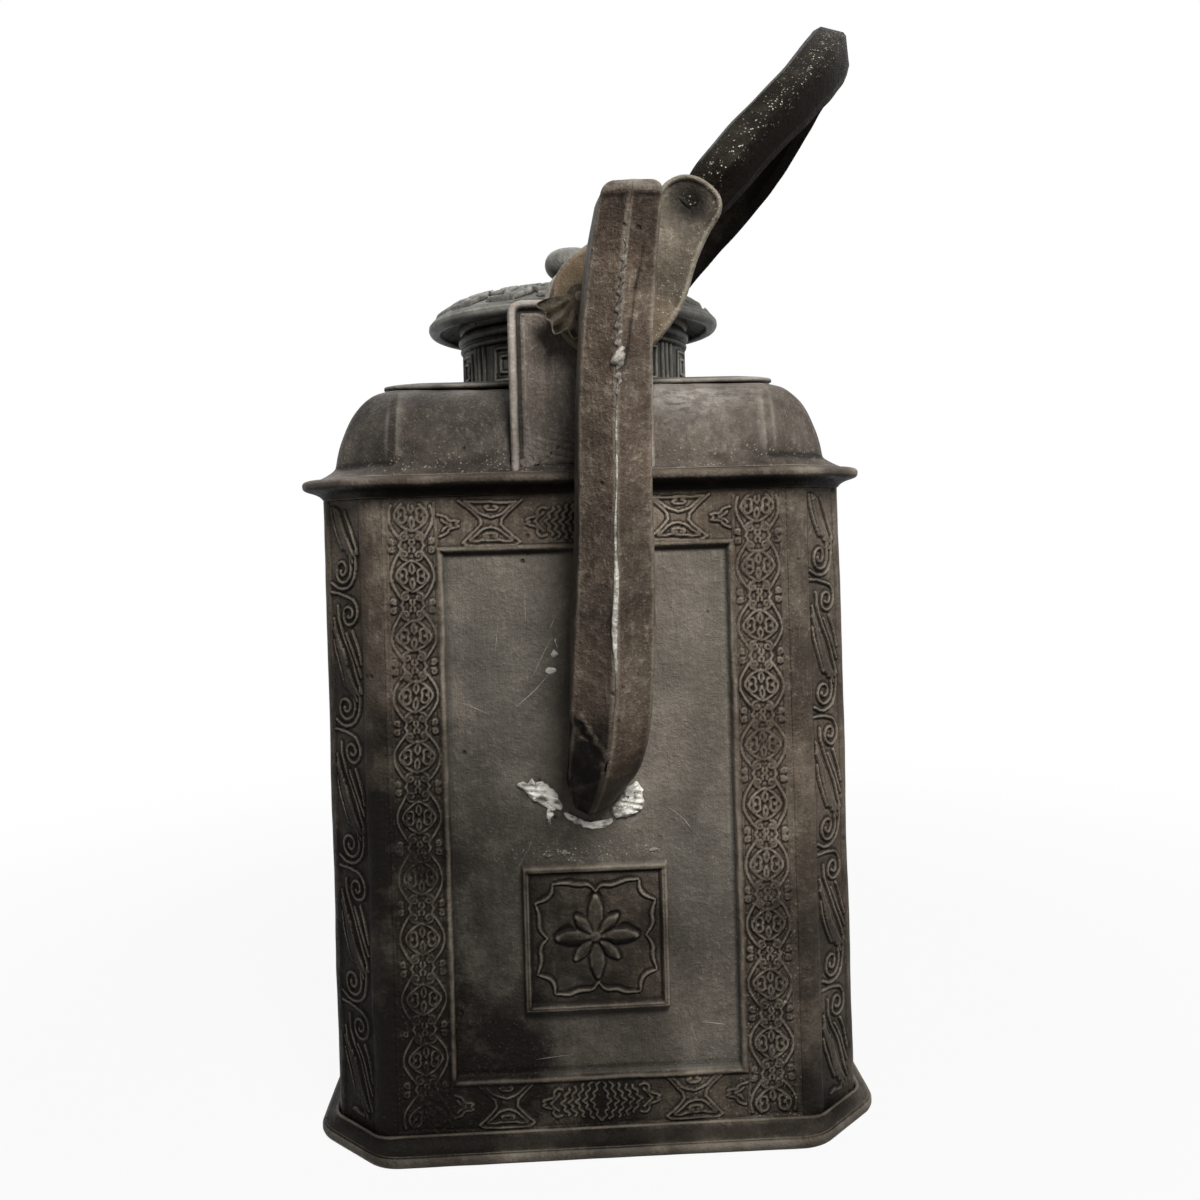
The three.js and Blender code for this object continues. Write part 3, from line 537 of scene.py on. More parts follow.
def plaque(name, turn, seed):
    nu, nv = len(tile.u), len(tile.v)
    uu, vv = (part.ravel() for part in np.meshgrid(tile.u, tile.v))
    proud = np.maximum(tile_rise.ravel() + waves(pairs(uu, vv), 7, seed) * 0.06, 0.05)
    out = FIELD_FACE + face_lumps(uu, vv + PLAQUE_MID, seed) + proud
    front = np.stack([uu, -out, vv + PLAQUE_MID], 1)
    ids = np.arange(nu * nv).reshape(nv, nu)
    edge = np.concatenate([ids[0], ids[1:, -1], ids[-1, -2::-1], ids[-2:0:-1, 0]])
    back = front[edge]
    back[:, 1] = -FIELD_FACE + 0.2
    behind = nu * nv + np.arange(len(edge))
    wall = np.stack([np.roll(edge, -1), edge, behind, np.roll(behind, -1)], -1)
    points = turned(np.vstack([front, back]), turn)
    return turn_out(mesh_object(name, points, [*grid_faces(ids).reshape(-1, 4), *wall, behind[::-1]]))


for side, turn, seed in SIDES:
    place(plaque(f"{side}_tile", turn, seed), "canister", "pewter_body", "body", f"{side}_plaque")


# The body's outline, as in the model
def outline(half, corner, radius=EDGE, crease=0.0, steps=6, flats=(1, 1)):
    """A square with cut corners and rounded edges. flats divides the long and the short sides."""
    flat = half - corner
    corners = np.array([[flat, -half], [half, -flat], [half, flat], [flat, half],
                        [-flat, half], [-half, flat], [-half, -flat], [-flat, -half]], float)
    points = []
    reach = radius * math.tan(math.pi / 8)
    for i, p in enumerate(corners):
        before, after = corners[i - 1], corners[(i + 1) % 8]
        b, a = directions(before - p), directions(after - p)
        for s in range(steps + 1):
            t = s / steps
            sink = crease * math.sin(math.pi * t) ** 1.5
            points.append(p + b * reach * (1 - t) ** 2 + a * reach * t**2 - directions(p) * sink)
        count = flats[0] if i % 2 else flats[1]
        start, end = points[-1], after - a * reach
        points += [start + (end - start) * s / count for s in range(1, count)]
    return np.array(points)


def around(offset, height, corner=CORNER, radius=EDGE, **how):
    """The body's outline moved out by an offset, at a height. Its cut corners never close up."""
    cut_here = max(corner + offset * (2 - math.sqrt(2)), 0.8)
    return raised(outline(BODY + offset, cut_here, max(radius + offset, 0.5), **how), height)


def corner_scroll():
    """One repeat of the corners' blades and scrolls, from the eye of its upper scroll."""
    paths = [
        np.vstack([[[-4.4, 15.2], [-1.2, 8.6], [2.4, 3.0]], spiral(-0.9, 0, 3.1, 35, 1.6, -1)]),
        [[3.6, 3.6], [3.5, -0.8], [1.6, -3.4], [-1.6, -3.9], [-4.4, -2.6]],
        np.vstack([[[-4.6, -4.6], [-1.6, -4.7], [2.0, -5.6]], spiral(0.9, -8.6, 3.0, 55, 1.55, -1)]),
        [[-2.6, -7.0], [-2.5, -10.4], [1.4, -17.0], [4.2, -24.0]],
        [[-4.2, -9.6], [-3.2, -13.2], [0.6, -20.2], [3.0, -24.4]],
        [[1.9, -11.9], [3.5, -14.8], [4.5, -18.5]],
        [[-4.3, -14.0], [-3.7, -17.0], [-0.8, -22.8]],
        [[-0.2, -12.4], [1.4, -14.9], [4.3, -20.8]],
    ]
    for s in (0.6, 1.6, 2.5, 3.3):
        paths.append([[s - 4.7, -10.5 - 1.5 * s], [s - 3.6, -15 - 1.2 * s], [s - 0.6, -22.4 - s]])
    for s in (0.9, 1.9, 3.0):
        paths.append([[s - 4.6, 16 - 2.2 * s], [s - 2.6, 10.6 - 1.6 * s]])
    return [rounded(path) for path in paths]


def corner_relief():
    """The raised work of one cut corner: blades and scrolls that wind down between two thin lines."""
    field = Relief(-5.7, 5.7, PANEL_LOW, WALL_TOP, 0.25)
    for k in range(-1, 6):
        for path in moved(corner_scroll(), 0, 113.5 - 27.0 * k):
            path = path[(path[:, 1] > RELIEF_LOW + 0.9) & (path[:, 1] < RELIEF_TOP)]
            if len(path) > 3:
                field.line(path, width=0.36, height=0.42, ditch=0.16)
    for x in (-5.1, 5.1):
        field.line([[x, RELIEF_LOW - 0.6], [x, RELIEF_TOP + 0.2]], width=0.34, height=0.2, ditch=0.05)
    return field, field.height()


cut, cut_rise = corner_relief()


def corner_piece(name, turn, seed):
    """A cut corner with its two rounded edges."""
    flat = BODY - CORNER
    c1, c2 = np.array([flat, -BODY]), np.array([BODY, -flat])
    slope = directions(c2 - c1)
    path = resample(np.vstack([
        [[PLAIN + 0.02, -BODY]],
        bend(c1 - [EDGE_REACH, 0], c1, c1 + slope * EDGE_REACH, 12),
        bend(c2 - slope * EDGE_REACH, c2, c2 + [0, EDGE_REACH], 12),
        [[BODY, -PLAIN - 0.02]]]), 0.26)
    tangent = directions(np.gradient(path, axis=0))
    out = np.stack([tangent[:, 1], -tangent[:, 0]], 1)
    from_middle = path - (c1 + c2) / 2
    u, v = from_middle @ slope, cut.v
    inside = (np.abs(u) < 5.6) & (np.abs(from_middle @ out[len(out) // 2]) < 1.2)
    rise = between(cut_rise.T, np.interp(u, cut.u, np.arange(len(cut.u)))).T
    rise = (rise - 0.3 * ease(5.6 - np.abs(u), 0, 0.6)) * inside
    flat_points = np.column_stack([np.tile(path, (len(v), 1)), np.repeat(v, len(path))])
    count = np.arange(len(path), dtype=float)
    calm = ease(np.minimum(count, count[::-1]), 0, 10)
    lumps = waves(flat_points, 26, seed) * 0.15 + waves(flat_points, 7, seed + 1) * 0.04 - 0.1
    push = rise + lumps.reshape(rise.shape) * calm
    plan = path[None] + push[..., None] * out[None]
    back = np.repeat(resample(path - out * CORNER_DEPTH, 1.2)[None, ::-1], len(v), 0)
    plan = np.concatenate([plan, back], 1)
    level = np.broadcast_to(v[:, None, None], plan.shape[:2] + (1,))
    return loft(name, turned(np.concatenate([plan, level], -1), turn))


for k, side in enumerate(["front_right", "back_right", "back_left", "front_left"]):
    piece = corner_piece(f"{side}_cut_corner", k * math.pi / 2, 51 + k)
    place(piece, "canister", "pewter_body", "body", f"{side}_corner")


def moulding(name, profile, seed, wobble):
    """A closed moulding round the body from [offset, height, corner] rows."""
    rings = [around(row[0], row[1], *row[2:], steps=8, flats=(60, 10)) for row in profile]
    flat = np.array(rings).reshape(-1, 3)
    push = (waves(flat, 28, seed) - 1.0) * wobble + waves(flat, 7, seed + 1) * wobble * 0.4
    flat += directions(flat * [1, 1, 0]) * push[:, None]
    flat[:, 2] += waves(flat, 30, seed + 2) * wobble * 0.8 * (flat[:, 2] > 1)
    return loft(name, flat.reshape(len(rings), -1, 3), closed=True)


def foot():
    """A low flared foot with a flat edge. Its cut corners are wider than the body's."""
    lip_corner = FOOT_CORNER - FOOT_REACH * (2 - math.sqrt(2))
    edge = [[3.2, 0.02], [3.75, 0.25], [FOOT_REACH, 0.8], [FOOT_REACH, 1.5], [3.8, 1.95], [3.45, 2.15]]
    rows = [[-8, 0.02]] + [[reach, height, lip_corner] for reach, height in edge]
    for s in np.linspace(0.12, 1, 9):
        sweep = s * math.pi / 2
        rows.append([0.9 + 3.1 * (1 - math.sin(sweep)), 2.2 + 2.6 * (1 - math.cos(sweep)),
                     CORNER + (lip_corner - CORNER) * (1 - s)])
    rows += [[0.35, 4.78], [0.3, 2.6], [0.3, 2.2], [-8, 2.2]]
    return moulding("foot_ring", rows, 61, 0.1)


def rim():
    """The flaring lip between the faces and the shoulder."""
    curve = rounded([[0.1, RIM_LOW], [0.6, 128.0], [1.6, 128.6], [3.3, 129.1], [4.0, 129.5], [4.2, 130.2],
                     [4.1, 130.9], [3.3, 131.35], [1.8, RIM_HIGH], [0.2, RIM_HIGH]], 2)
    return moulding("shoulder_lip", [[-5, RIM_LOW], *curve.tolist(), [-5, RIM_HIGH]], 67, 0.12)


place(foot(), "canister", "pewter_body", "body", "foot_moulding")
place(rim(), "canister", "pewter_body", "body", "shoulder_rim")

DOME = [[0.6, 0], [-0.6, 0.05], [-1.5, 0.13], [-2.1, 0.3], [-3, 0.47], [-4.7, 0.68], [-6.8, 0.84],
        [-9.3, 0.95], [-12.2, 1]]


def dome_ring(offset, share, shrink=0.0):
    """The shoulder's outline at a share of its rise, with a crease down each cut corner's edges."""
    half = BODY + offset - shrink
    flat = DOME_FLAT + (BODY - CORNER - DOME_FLAT) * (1 - min(share / 0.13, 1))
    crease = 0.28 * math.sin(math.pi * min(max((share - 0.06) / 0.9, 0), 1)) ** 0.5
    radius = EDGE + (DOME_EDGE - EDGE) * min(share / 0.1, 1)
    ring = outline(half, max(half - flat, 2.4), radius, crease, steps=8, flats=(48, 14))
    return raised(ring, DOME_LOW + share * DOME_RISE - shrink)


def dome():
    """The shoulder's bell, open at the top under its plate, with a painted highlight in the colour of bare
    metal at the front right.
    """
    rows = smooth_rows(DOME, 44)
    rows[:, 1] = np.clip(rows[:, 1], 0, 1)
    outer = [dome_ring(*row) for row in rows]
    mouth = outer[-1].copy()
    mouth[:, :2] *= MOUTH_HALF / DOME_TOP_HALF
    inner = [dome_ring(*row, DOME_WALL) for row in rows[::-3]]
    base = dome_ring(*rows[0], DOME_WALL)
    base[:, 2] = DOME_LOW
    rings = np.array([*outer, mouth, mouth - [0, 0, DOME_WALL], *inner, base])
    flat = rings.reshape(-1, 3)
    fade = ease(flat[:, 2], DOME_LOW, DOME_LOW + 3)
    push = (waves(flat, 30, 71) - 1.0) * 0.25 + waves(flat, 9, 72) * 0.09 + waves(flat, 4, 73) * 0.03
    flat += directions(flat * [1, 1, 0.6]) * (push * fade)[:, None]
    bell = loft("shoulder_bell", rings, closed=True)
    x, y, z = coords(bell).T
    # Painted highlight: a pale patch at the front right of the shoulder, where the light falls on it.
    paint(bell, "bare_and_highlight", 0.22 * bump_at(x, 23, 9) * bump_at(z, 146, 3.2) * (y < 0))
    # Pale specks, partly painted glints, low on the shoulder.
    paint(bell, "speck_and_glint", 0.35 * (1 - ease(z, 133, 138)) + 0.12)
    return bell


def top_plate():
    """A thin plate on the shoulder that rises a little towards the neck."""
    rows = [[0, 0.0], [0, 0.5], [0.25, 0.75], [0.8, 0.9], [3, 1.25], [6, 1.8], [9, 2.2], [12, 2.45]]
    rings = [around(-PLATE_SETBACK - setback, PLATE_LOW + rise, radius=14, flats=(24, 6))
             for setback, rise in rows]
    last = rings[-1]
    hole = circle(PLATE_HOLE, np.arctan2(last[:, 1], last[:, 0]), last[0, 2])
    rings += [(last + hole) / 2, hole, hole * [1, 1, 0] + [0, 0, PLATE_LOW]]
    return loft("shoulder_top", rings, closed=True)


place(dome(), "canister", "pewter_body", "dome", "shoulder_dome")
place(top_plate(), "canister", "pewter_body", "dome", "shoulder_top_plate")


def neck():
    """A collar with upright ribs and nested square frets, under two thin beads."""
    count, frets, top = 720, 10, NECK_HIGH - 0.05
    field = Relief(0, 2 * math.pi * NECK_R * (1 - 1 / count), 0, 9.0, 2 * math.pi * NECK_R / count)
    unit = 2 * math.pi * NECK_R / frets
    for k in range(frets):
        mid = unit * (k + 0.5)
        for half, high, low in ((3.4, 7.9, 0.9), (1.7, 6.1, 2.7)):
            a, b = mid - half, mid + half
            field.line([[a, low], [b, low], [b, high], [a, high], [a, low]], width=0.4, height=0.4, wrap=True)
        for d in (-7.4, 5.8, 7.4):
            field.line([[mid + d, 0.4], [mid + d, 8.8]], width=0.55, height=0.4, wrap=True)
    walls = [(NECK_R - 0.4 + row, NECK_LOW + z) for row, z in zip(field.height(), field.v)]
    beads = [*arc(NECK_R - 0.3, 162.5, 0.75, 0.75, -80, 80, 9),
             *arc(NECK_R - 0.1, 164.7, 1.0, 1.2, -75, 85, 10)]
    inside = [[NECK_R - 1, top], [NECK_BORE + 0.3, top], [NECK_BORE, top - 0.35], [NECK_BORE, SPIGOT_LOW],
              [SPIGOT_R, SPIGOT_LOW], [SPIGOT_R, NECK_LOW]]
    return loft("neck", [circle(r, field.u / NECK_R, z) for r, z in [*walls, *beads, *inside]], closed=True)


place(neck(), "canister", "pewter_lid", "lid", "neck_collar")


def flask():
    """The liner that holds the wine: its tube, floor and rolled lip."""
    tube = [[FLASK_IN, FLASK_FLOOR + 0.3], [FLASK_R, FLASK_FLOOR + 0.3], [FLASK_R, FLASK_TOP],
            [FLASK_IN, FLASK_TOP]]
    floor_plate = [[0, FLASK_LOW], [21.6, FLASK_LOW], [22.2, FLASK_LOW + 0.3], [FLASK_R, FLASK_FLOOR],
                   [0, FLASK_FLOOR]]
    lip = [[FLASK_IN, 166.3], *arc(LIP_R - 1, 167.65, 1.0, 1.35, -90, 90, 14),
           [FLASK_IN + 0.5, 169.0], [FLASK_IN, 168.6]]
    place(lathe("flask_tube", tube), "flask", "pewter_body", "dome", "flask_wall")
    place(lathe("flask_floor", floor_plate), "flask", "pewter_body", "dome", "flask_base")
    place(lathe("flask_lip", lip, 120), "flask", "pewter_body", "dome", "flask_flange")


flask()


def lid_scroll():
    """One repeat of the lid's band of scrolls: u runs round it and v outward."""
    paths = [
        spiral(0, 25.4, 3.1, 160, 1.4, -1),
        [[5.2, 18.2], [4.0, 19.2], [2.6, 18.4]],
        spiral(5.4, 27.4, 1.5, 200, 1.1, 1),
        [[-3.1, 26.4], [-5.6, 29.6], [-8.2, 28.6], [-9.4, 25.6]],
        [[1.0, 22.0], [3.6, 20.6], [6.4, 22.0], [7.4, 24.6]],
        [[-1.2, 29.7], [1.8, 30.2], [4.4, 28.2], [5.6, 25.0]],
        [[-2.2, 18.6], [0.6, 17.8], [3.2, 18.8]],
    ]
    return [rounded(path, 2) * [1, 1.15] + [0, 32.4 - 30.2 * 1.15] for path in paths]


def lid():
    """A low domed lid with a band of running scrolls and a smooth rolled rim."""
    count, scale, repeats = 640, 25.0, 16
    field = Relief(0, 2 * math.pi * scale * (1 - 1 / count), 10.0, LID_R - 0.3, 2 * math.pi * scale / count)
    for k in range(repeats):
        scrolls = moved(lid_scroll(), 2 * math.pi * scale / repeats * (k + 0.5), 0)
        field.lines(scrolls, width=0.75, height=0.95, wrap=True, taper=True, ditch=0.35)
    relief, turn = field.height(), field.u / scale
    shares = np.array([[0.985, -0.08], [0.95, 0.08], [0.9, 0.22], [0.83, 0.42], [0.73, 0.56], [0.58, 0.7],
                       [0.41, 0.84], [0.23, 0.95], [0, 1]])
    top = smooth_rows(np.column_stack([LID_R * shares[:, 0], LID_SEAT + LID_RISE * shares[:, 1]]), 120)
    roll = rounded([[31.4, 167.3], [31.9, 166.3], [32.9, 166.0], [33.8, 166.4], [LID_R, 167.3],
                    [34.2, 168.2]])
    under = [[10.3, 174.7], [18.5, 172.9], [20.4, LID_SEAT], [28.3, LID_SEAT], [31.0, 167.6], *roll]
    rings = [circle(r, turn, z) for r, z in under]
    for r, z in top[:-1]:
        row = np.clip(np.interp(r, field.v, np.arange(len(field.v))), 0, len(field.v) - 1.001)
        band = float(ease(r, 15, 16.5) * (1 - ease(r, 32.6, 33.2)))
        rings.append(circle(r, turn, z + (between(relief, row) - 0.25) * band))
    return loft("lid_cover", rings, tips=[[0, 0, 175.3], [0, 0, LID_SEAT + LID_RISE]])


def lid_fittings():
    """The sleeve under the lid, which drops into the flask, and the bun-shaped knob."""
    sleeve = [[19.4, 160.3], [20.2, 160.3], [20.5, 160.6], [20.5, 170.1], [19.4, 170.1]]
    stem = [[3.8, KNOB_LOW], [3.7, 177.5], [3.2, 178.1], [3.2, 179.4]]
    bun = [[KNOB_R * abs(math.cos(a)) ** 0.6, 183.3 + 3.75 * math.sin(a)]
           for a in np.radians(np.linspace(-62, 86, 22))]
    place(lathe("lid_tube", sleeve), "lid", "pewter_lid", "lid", "lid_sleeve")
    knob = lathe("lid_bun", [[0, KNOB_LOW], *stem, *bun, [0, KNOB_TOP]], 72, 0.05, 5)
    place(knob, "lid", "pewter_lid", "lid", "lid_knob")


place(lid(), "lid", "pewter_lid", "lid", "lid_shell")
lid_fittings()


# Flat pieces that stand in the XZ plane
def inset(points, distance):
    """A closed outline moved inward along its corners' normals."""
    edge = directions(np.roll(points, -1, 0) - points)
    normal = np.stack([-edge[:, 1], edge[:, 0]], 1)
    mean = directions(normal + np.roll(normal, 1, 0))
    x, y = points.T
    area = np.sum(x * np.roll(y, -1) - np.roll(x, -1) * y)
    return points + mean * distance * np.sign(area)


def slab(name, shape, layers, heart, bumps, mirror, count=24):
    """A plate from an outline and [depth, inset] layers, back first. Its front closes on a short line."""
    rings = []
    for depth, distance in layers:
        ring = inset(shape, distance)
        rings.append(np.column_stack([ring[:, 0], np.full(len(ring), -depth), ring[:, 1]]))
    last = rings[-1]
    a, b = (np.array(p, float) for p in heart)
    share = np.clip((last[:, [0, 2]] - a) @ (b - a) / ((b - a) @ (b - a)), 0, 1)
    goal = a + share[:, None] * (b - a)
    goal = np.column_stack([goal[:, 0], last[:, 1], goal[:, 1]])
    rings += [last * (1 - s) + goal * s for s in np.linspace(0, 0.97, count)[1:]]
    rings = np.array(rings)
    front = rings[len(layers) - 1:].reshape(-1, 3)
    front[:, 1] -= bumps(front[:, 0], front[:, 2])
    rings[len(layers) - 1:] = front.reshape(-1, len(shape), 3)
    if mirror:
        rings[..., 1] *= -1
    return loft(name, rings)


def ear_shape():
    """An ear's outline: upright sides, rounded shoulders and a crest over the pivot."""
    shoulder, crest, soft = PIVOT + 0.6, 5.6, 3.4
    right = np.vstack([
        [[EAR_HALF, RIM_HIGH - 1]],
        bend([EAR_HALF, shoulder - soft], [EAR_HALF, shoulder], [EAR_HALF - soft, shoulder]),
        bend([crest + 1, shoulder], [crest, EAR_TOP], [0, EAR_TOP])])
    return resample(np.vstack([right, (right * [-1, 1])[-2::-1]]), 0.6, closed=True)


def ear(name, mirror):
    """An ear with a raised rim round a slightly sunk face, filed across near its foot."""
    rows = [[-3.6, 0.3], [-3.2, 0], [-0.1, 0], [0.4, 0.15], [0.7, 0.45], [0.8, 0.8], [0.68, 1.2],
            [0.25, 1.55], [-0.35, 1.8], [-0.5, 2.2], [-0.25, 2.7], [0.02, 3.2]]

    def marks(x, z):
        flat = pairs(x, z)
        file_cuts = np.sin((z * 0.94 + x * 0.34) * 5.2 + waves(flat, 8, 83) * 1.5)
        return -0.16 + 0.09 * waves(flat, 9, 81) + 0.07 * file_cuts * (1 - ease(z, 134, 146))

    layers = [[EAR_FACE + depth, distance] for depth, distance in rows]
    return slab(name, ear_shape(), layers, ((0, 140), (0, 160)), marks, mirror)


place(ear("front_lug", False), "canister", "pewter_body", "dome", "front_ear")
place(ear("rear_lug", True), "canister", "pewter_body", "dome", "rear_ear")


def arm_shape():
    """The arm's outline round its pivot, ending in a lobe at the grip."""
    runs = [[[-5.3, 0]], bend([-5.3, 0], [-5.6, 5.6], [0.7, 9.7]), [[14.6, 19.4]],
            bend([17.1, 22.0], [20.6, 24.9], [24.8, 22.4]), bend([24.8, 22.4], [29.4, 19.4], [27.6, 15.4]),
            bend([27.6, 15.4], [23.4, 9.4], [21.6, 2.6]), bend([21.6, 2.6], [20, -3.4], [14.3, -9.1]),
            bend([14.3, -9.1], [9.4, -13.2], [3, -11.4]), bend([3, -11.4], [-5.4, -8.6], [-5.3, 0])[:-1]]
    return resample(np.vstack(runs) + [0, PIVOT], 0.6, closed=True)


def leaned(x, z):
    """Distances along and across the handle's leaning axis, from the pivot."""
    up = z - PIVOT
    return x * math.sin(LEAN) + up * math.cos(LEAN), x * math.cos(LEAN) - up * math.sin(LEAN)


def arm(name, mirror):
    """A flat arm with a hollow in its lobe, with painted shadow in the hollow, darker along one edge, and
    warmer at its tail.
    """
    layers = [[ARM_IN, 0.7], [ARM_IN + 0.25, 0.2], [ARM_IN + 0.7, 0], [ARM_OUT - 0.9, 0],
              [ARM_OUT - 0.4, 0.2], [ARM_OUT - 0.1, 0.55], [ARM_OUT, 1.1]]

    def hollow(along, across, middle, long, wide):
        return np.exp(-(((along - middle) / long) ** 2 + ((across - 3.4) / wide) ** 2))

    def scoop(x, z):
        flat = pairs(x, z)
        lumps = 0.13 * waves(flat, 11, 91) + 0.05 * waves(flat, 3.5, 92)
        return -1.8 * hollow(*leaned(x, z), 28.0, 4.4, 4.6) - 0.15 + lumps

    obj = slab(name, arm_shape(), layers, ((3, PIVOT - 2), (17, PIVOT + 12)), scoop, mirror, 36)
    x, _, z = coords(obj).T
    along, across = leaned(x, z)
    # Painted shadow in the hollow, where the grip's end overhangs the arm.
    dark = hollow(along, across, 28.4, 4.2, 4.8)
    paint(obj, "soot_and_shade", np.clip(0.95 * dark + 0.28 + 0.2 * ease(across, 4, 12), 0, 1))
    # Pale specks, partly painted glints, towards the grip and along one edge.
    paint(obj, "speck_and_glint", np.clip(ease(along, 20, 30) * 0.7 + 0.5 * ease(across, 8, 12) - 1.4 * dark, 0, 1))
    paint(obj, "gold", np.clip(1 - ease(along, 2, 16), 0, 1) * 0.6)
    return obj


place(arm("front_bar", False), "handle", "handle_bronze", "bronze", "front_arm")
place(arm("rear_bar", True), "handle", "handle_bronze", "bronze", "rear_arm")


def leaf(name, mirror):
    """A small fan of ridges at the tail of an arm, pointing away from the grip."""
    turn = np.linspace(-math.pi, math.pi, 160, endpoint=False)
    half = math.radians(36)
    fade = ease(half * 1.7 - np.abs(turn), 0, half * 0.7)
    lobes = np.abs(np.cos(turn / half * 1.5 * math.pi + 0.5)) ** 1.5
    reach = 2.6 + (8.3 - 0.8 * lobes + 0.5 * np.sin(turn * 9 + 1) - 2.6) * fade
    angle = turn - math.pi / 2 - LEAN
    shell = [(ARM_OUT + 0.3, 0.94), (ARM_OUT + 0.5, 0.99), (ARM_OUT + 1.0, 1.0), (ARM_OUT + 1.3, 0.97)]
    rings = [(np.full(len(turn), depth), reach * share) for depth, share in shell]
    for share in np.linspace(0.93, 0.06, 18):
        r = reach * share
        folds = 0.5 - 0.5 * np.cos(turn / half * 3 * math.pi + 1.0 + 0.5 * np.sin(r))
        sink = 0.5 * folds * ease(r, 1.2, 4.6) + 0.7 * ease(r, 4.4, 8.8)
        sink += 0.6 * (1 - fade) * ease(r, 0.8, 2.6)
        rings.append((ARM_OUT + 1.9 - sink, r))
    points = np.array([np.column_stack([r * np.cos(angle), -d, PIVOT + r * np.sin(angle)]) for d, r in rings])
    flat = points.reshape(-1, 3)
    flat[:, 1] += waves(flat, 3.0, 97) * 0.09
    if mirror:
        points[..., 1] *= -1
    obj = loft(name, points)
    paint(obj, "soot_and_shade", 0.5)
    return obj


def pin(name, mirror):
    """A rivet with an inner head, a shank and a nearly flush outer head."""
    inner = [[0, 0], [PIN_HEAD_R - 0.3, 0], [PIN_HEAD_R, 0.3], [PIN_HEAD_R, 1.3], [PIN_R, 1.3]]
    outer = [[PIN_R, 0.65], [1.2, 0.35], [0.9, 0.15], [0.5, 0.05], [0, 0]]
    rows = [[r, PIN_IN + depth] for r, depth in inner] + [[r, PIN_OUT - depth] for r, depth in outer]
    obj = lathe(name, rows, 40)
    obj.data.transform(Matrix.Translation((0, 0, PIVOT * MM)) @ Matrix.Rotation(math.pi / 2, 4, "X"))
    if mirror:
        obj.data.transform(Matrix.Scale(-1, 4, (0, 1, 0)))
        obj.data.flip_normals()
    return obj


for side, mirror in (("front", False), ("rear", True)):
    place(leaf(f"{side}_fan", mirror), "handle", "handle_bronze", "bronze", f"{side}_leaf")
    place(pin(f"{side}_rivet", mirror), "canister", "handle_bronze", "bronze", f"{side}_pivot_pin")

# The grip's section, as shares of its width and its depth
GRIP = [[-0.5, 0.02], [-0.45, 0.2], [-0.06, 0.48], [0.02, 0.46], [0.42, -0.05], [0.5, -0.27], [0.31, -0.52],
        [-0.32, -0.52], [-0.5, -0.25]]
GRIP_START = 27.5


def grip_section():
    """The section's points, each with the number of its facet plus its share of the way along it."""
    section, facet = [], []
    for k, (a, b) in enumerate(zip(GRIP, GRIP[1:] + GRIP[:1])):
        for t in (0.0, 0.06, 0.2, 0.4, 0.6, 0.8, 0.94):
            section.append([a[0] + (b[0] - a[0]) * t, a[1] + (b[1] - a[1]) * t])
            facet.append(k + t)
    return rounded(section, 1, closed=True), np.repeat(facet, 2)


def grip():
    """A hoop of faceted bar from one arm to the other, flattened and dented by hand."""
    section, facet = grip_section()
    rings = []
    for turn in np.linspace(0, 1, 130) * math.pi:
        height = math.sin(turn)
        along = GRIP_START + (GRIP_REACH - GRIP_START) * height
        out = directions(np.array([-math.cos(turn) * (GRIP_REACH - ARM_LENGTH), height * ARM_MID]))
        root = 1 - 0.15 * float(1 - ease(height, 0.0, 0.12))
        sweep = 0.8 + 4.6 * (1 - height) + 2.0 * math.sin(2 * turn) ** 2
        u = section[:, 0] * GRIP_WIDTH * (1 - 0.18 * (1 - height)) * root + sweep
        w = section[:, 1] * GRIP_DEPTH * root
        w = np.where(w > 0, w * float(ease(along, 29, 40)), w)
        r = along + w * out[1]
        rings.append(np.column_stack([r * math.sin(LEAN) + u * math.cos(LEAN),
                                      -ARM_MID * math.cos(turn) + w * out[0],
                                      PIVOT + r * math.cos(LEAN) - u * math.sin(LEAN)]))
    rings = np.array(rings)
    away = directions((rings - rings.mean(1, keepdims=True)).reshape(-1, 3))
    flat = rings.reshape(-1, 3)
    flat += away * ((waves(flat, 24, 95) - 1) * 0.28 + waves(flat, 7, 96) * 0.1)[:, None]
    obj = loft("grip", rings)
    k = np.tile(facet, len(rings))
    # Pale specks, partly painted glints, on the upper left facets.
    paint(obj, "speck_and_glint", 0.95 * ease(k, 0.8, 1.9) * (1 - ease(k, 2.9, 3.3)))
    # The bar is dark all over, and its lower right and inner facets get painted shade on top.
    paint(obj, "soot_and_shade", 0.84 + 0.15 * ease(k, 2.9, 3.3) * (1 - ease(k, 7.6, 8.4)))
    return obj


place(grip(), "handle", "handle_bronze", "grip", "handle_grip")

# The spout: [back out, back up, front out, front up, half width behind, half width in front,
# share of the way to the ridge where the front corners lie, roundness of the front]
SPOUT = np.array([
    [-2.4, 6.4, -2.4, -11.4, 6.6, 5.6, 0.66, 0.80], [0, 7, 0.4, -12.4, 7.1, 6.2, 0.68, 0.78],
    [3, 10.5, 9, -7.6, 7.9, 7.2, 0.74, 0.64], [4.8, 16, 15.7, 0.8, 8.1, 7.7, 0.78, 0.52],
    [5.4, 27, 18, 15, 8.1, 7.7, 0.78, 0.45], [6.4, 48, 18.8, 41, 7.4, 7.1, 0.80, 0.45],
    [8.8, 72, 21, 68, 7.1, 6.7, 0.86, 0.5], [12.6, 91, 24.6, 89.5, 6.8, 6.1, 0.92, 0.6],
    [16, 103.4, 27.0, 103.6, 6.1, 5.5, 0.94, 0.65]])


def drift(z):
    """How far the spout leans sideways at a height."""
    share = (z - SPOUT_ROOT) / 104 + 0.04
    return 18.6 * (0.11 + 0.81 * share - 1.46 * share**2 + share**3) - 1.2 * (1 - ease(z, 62, 84))


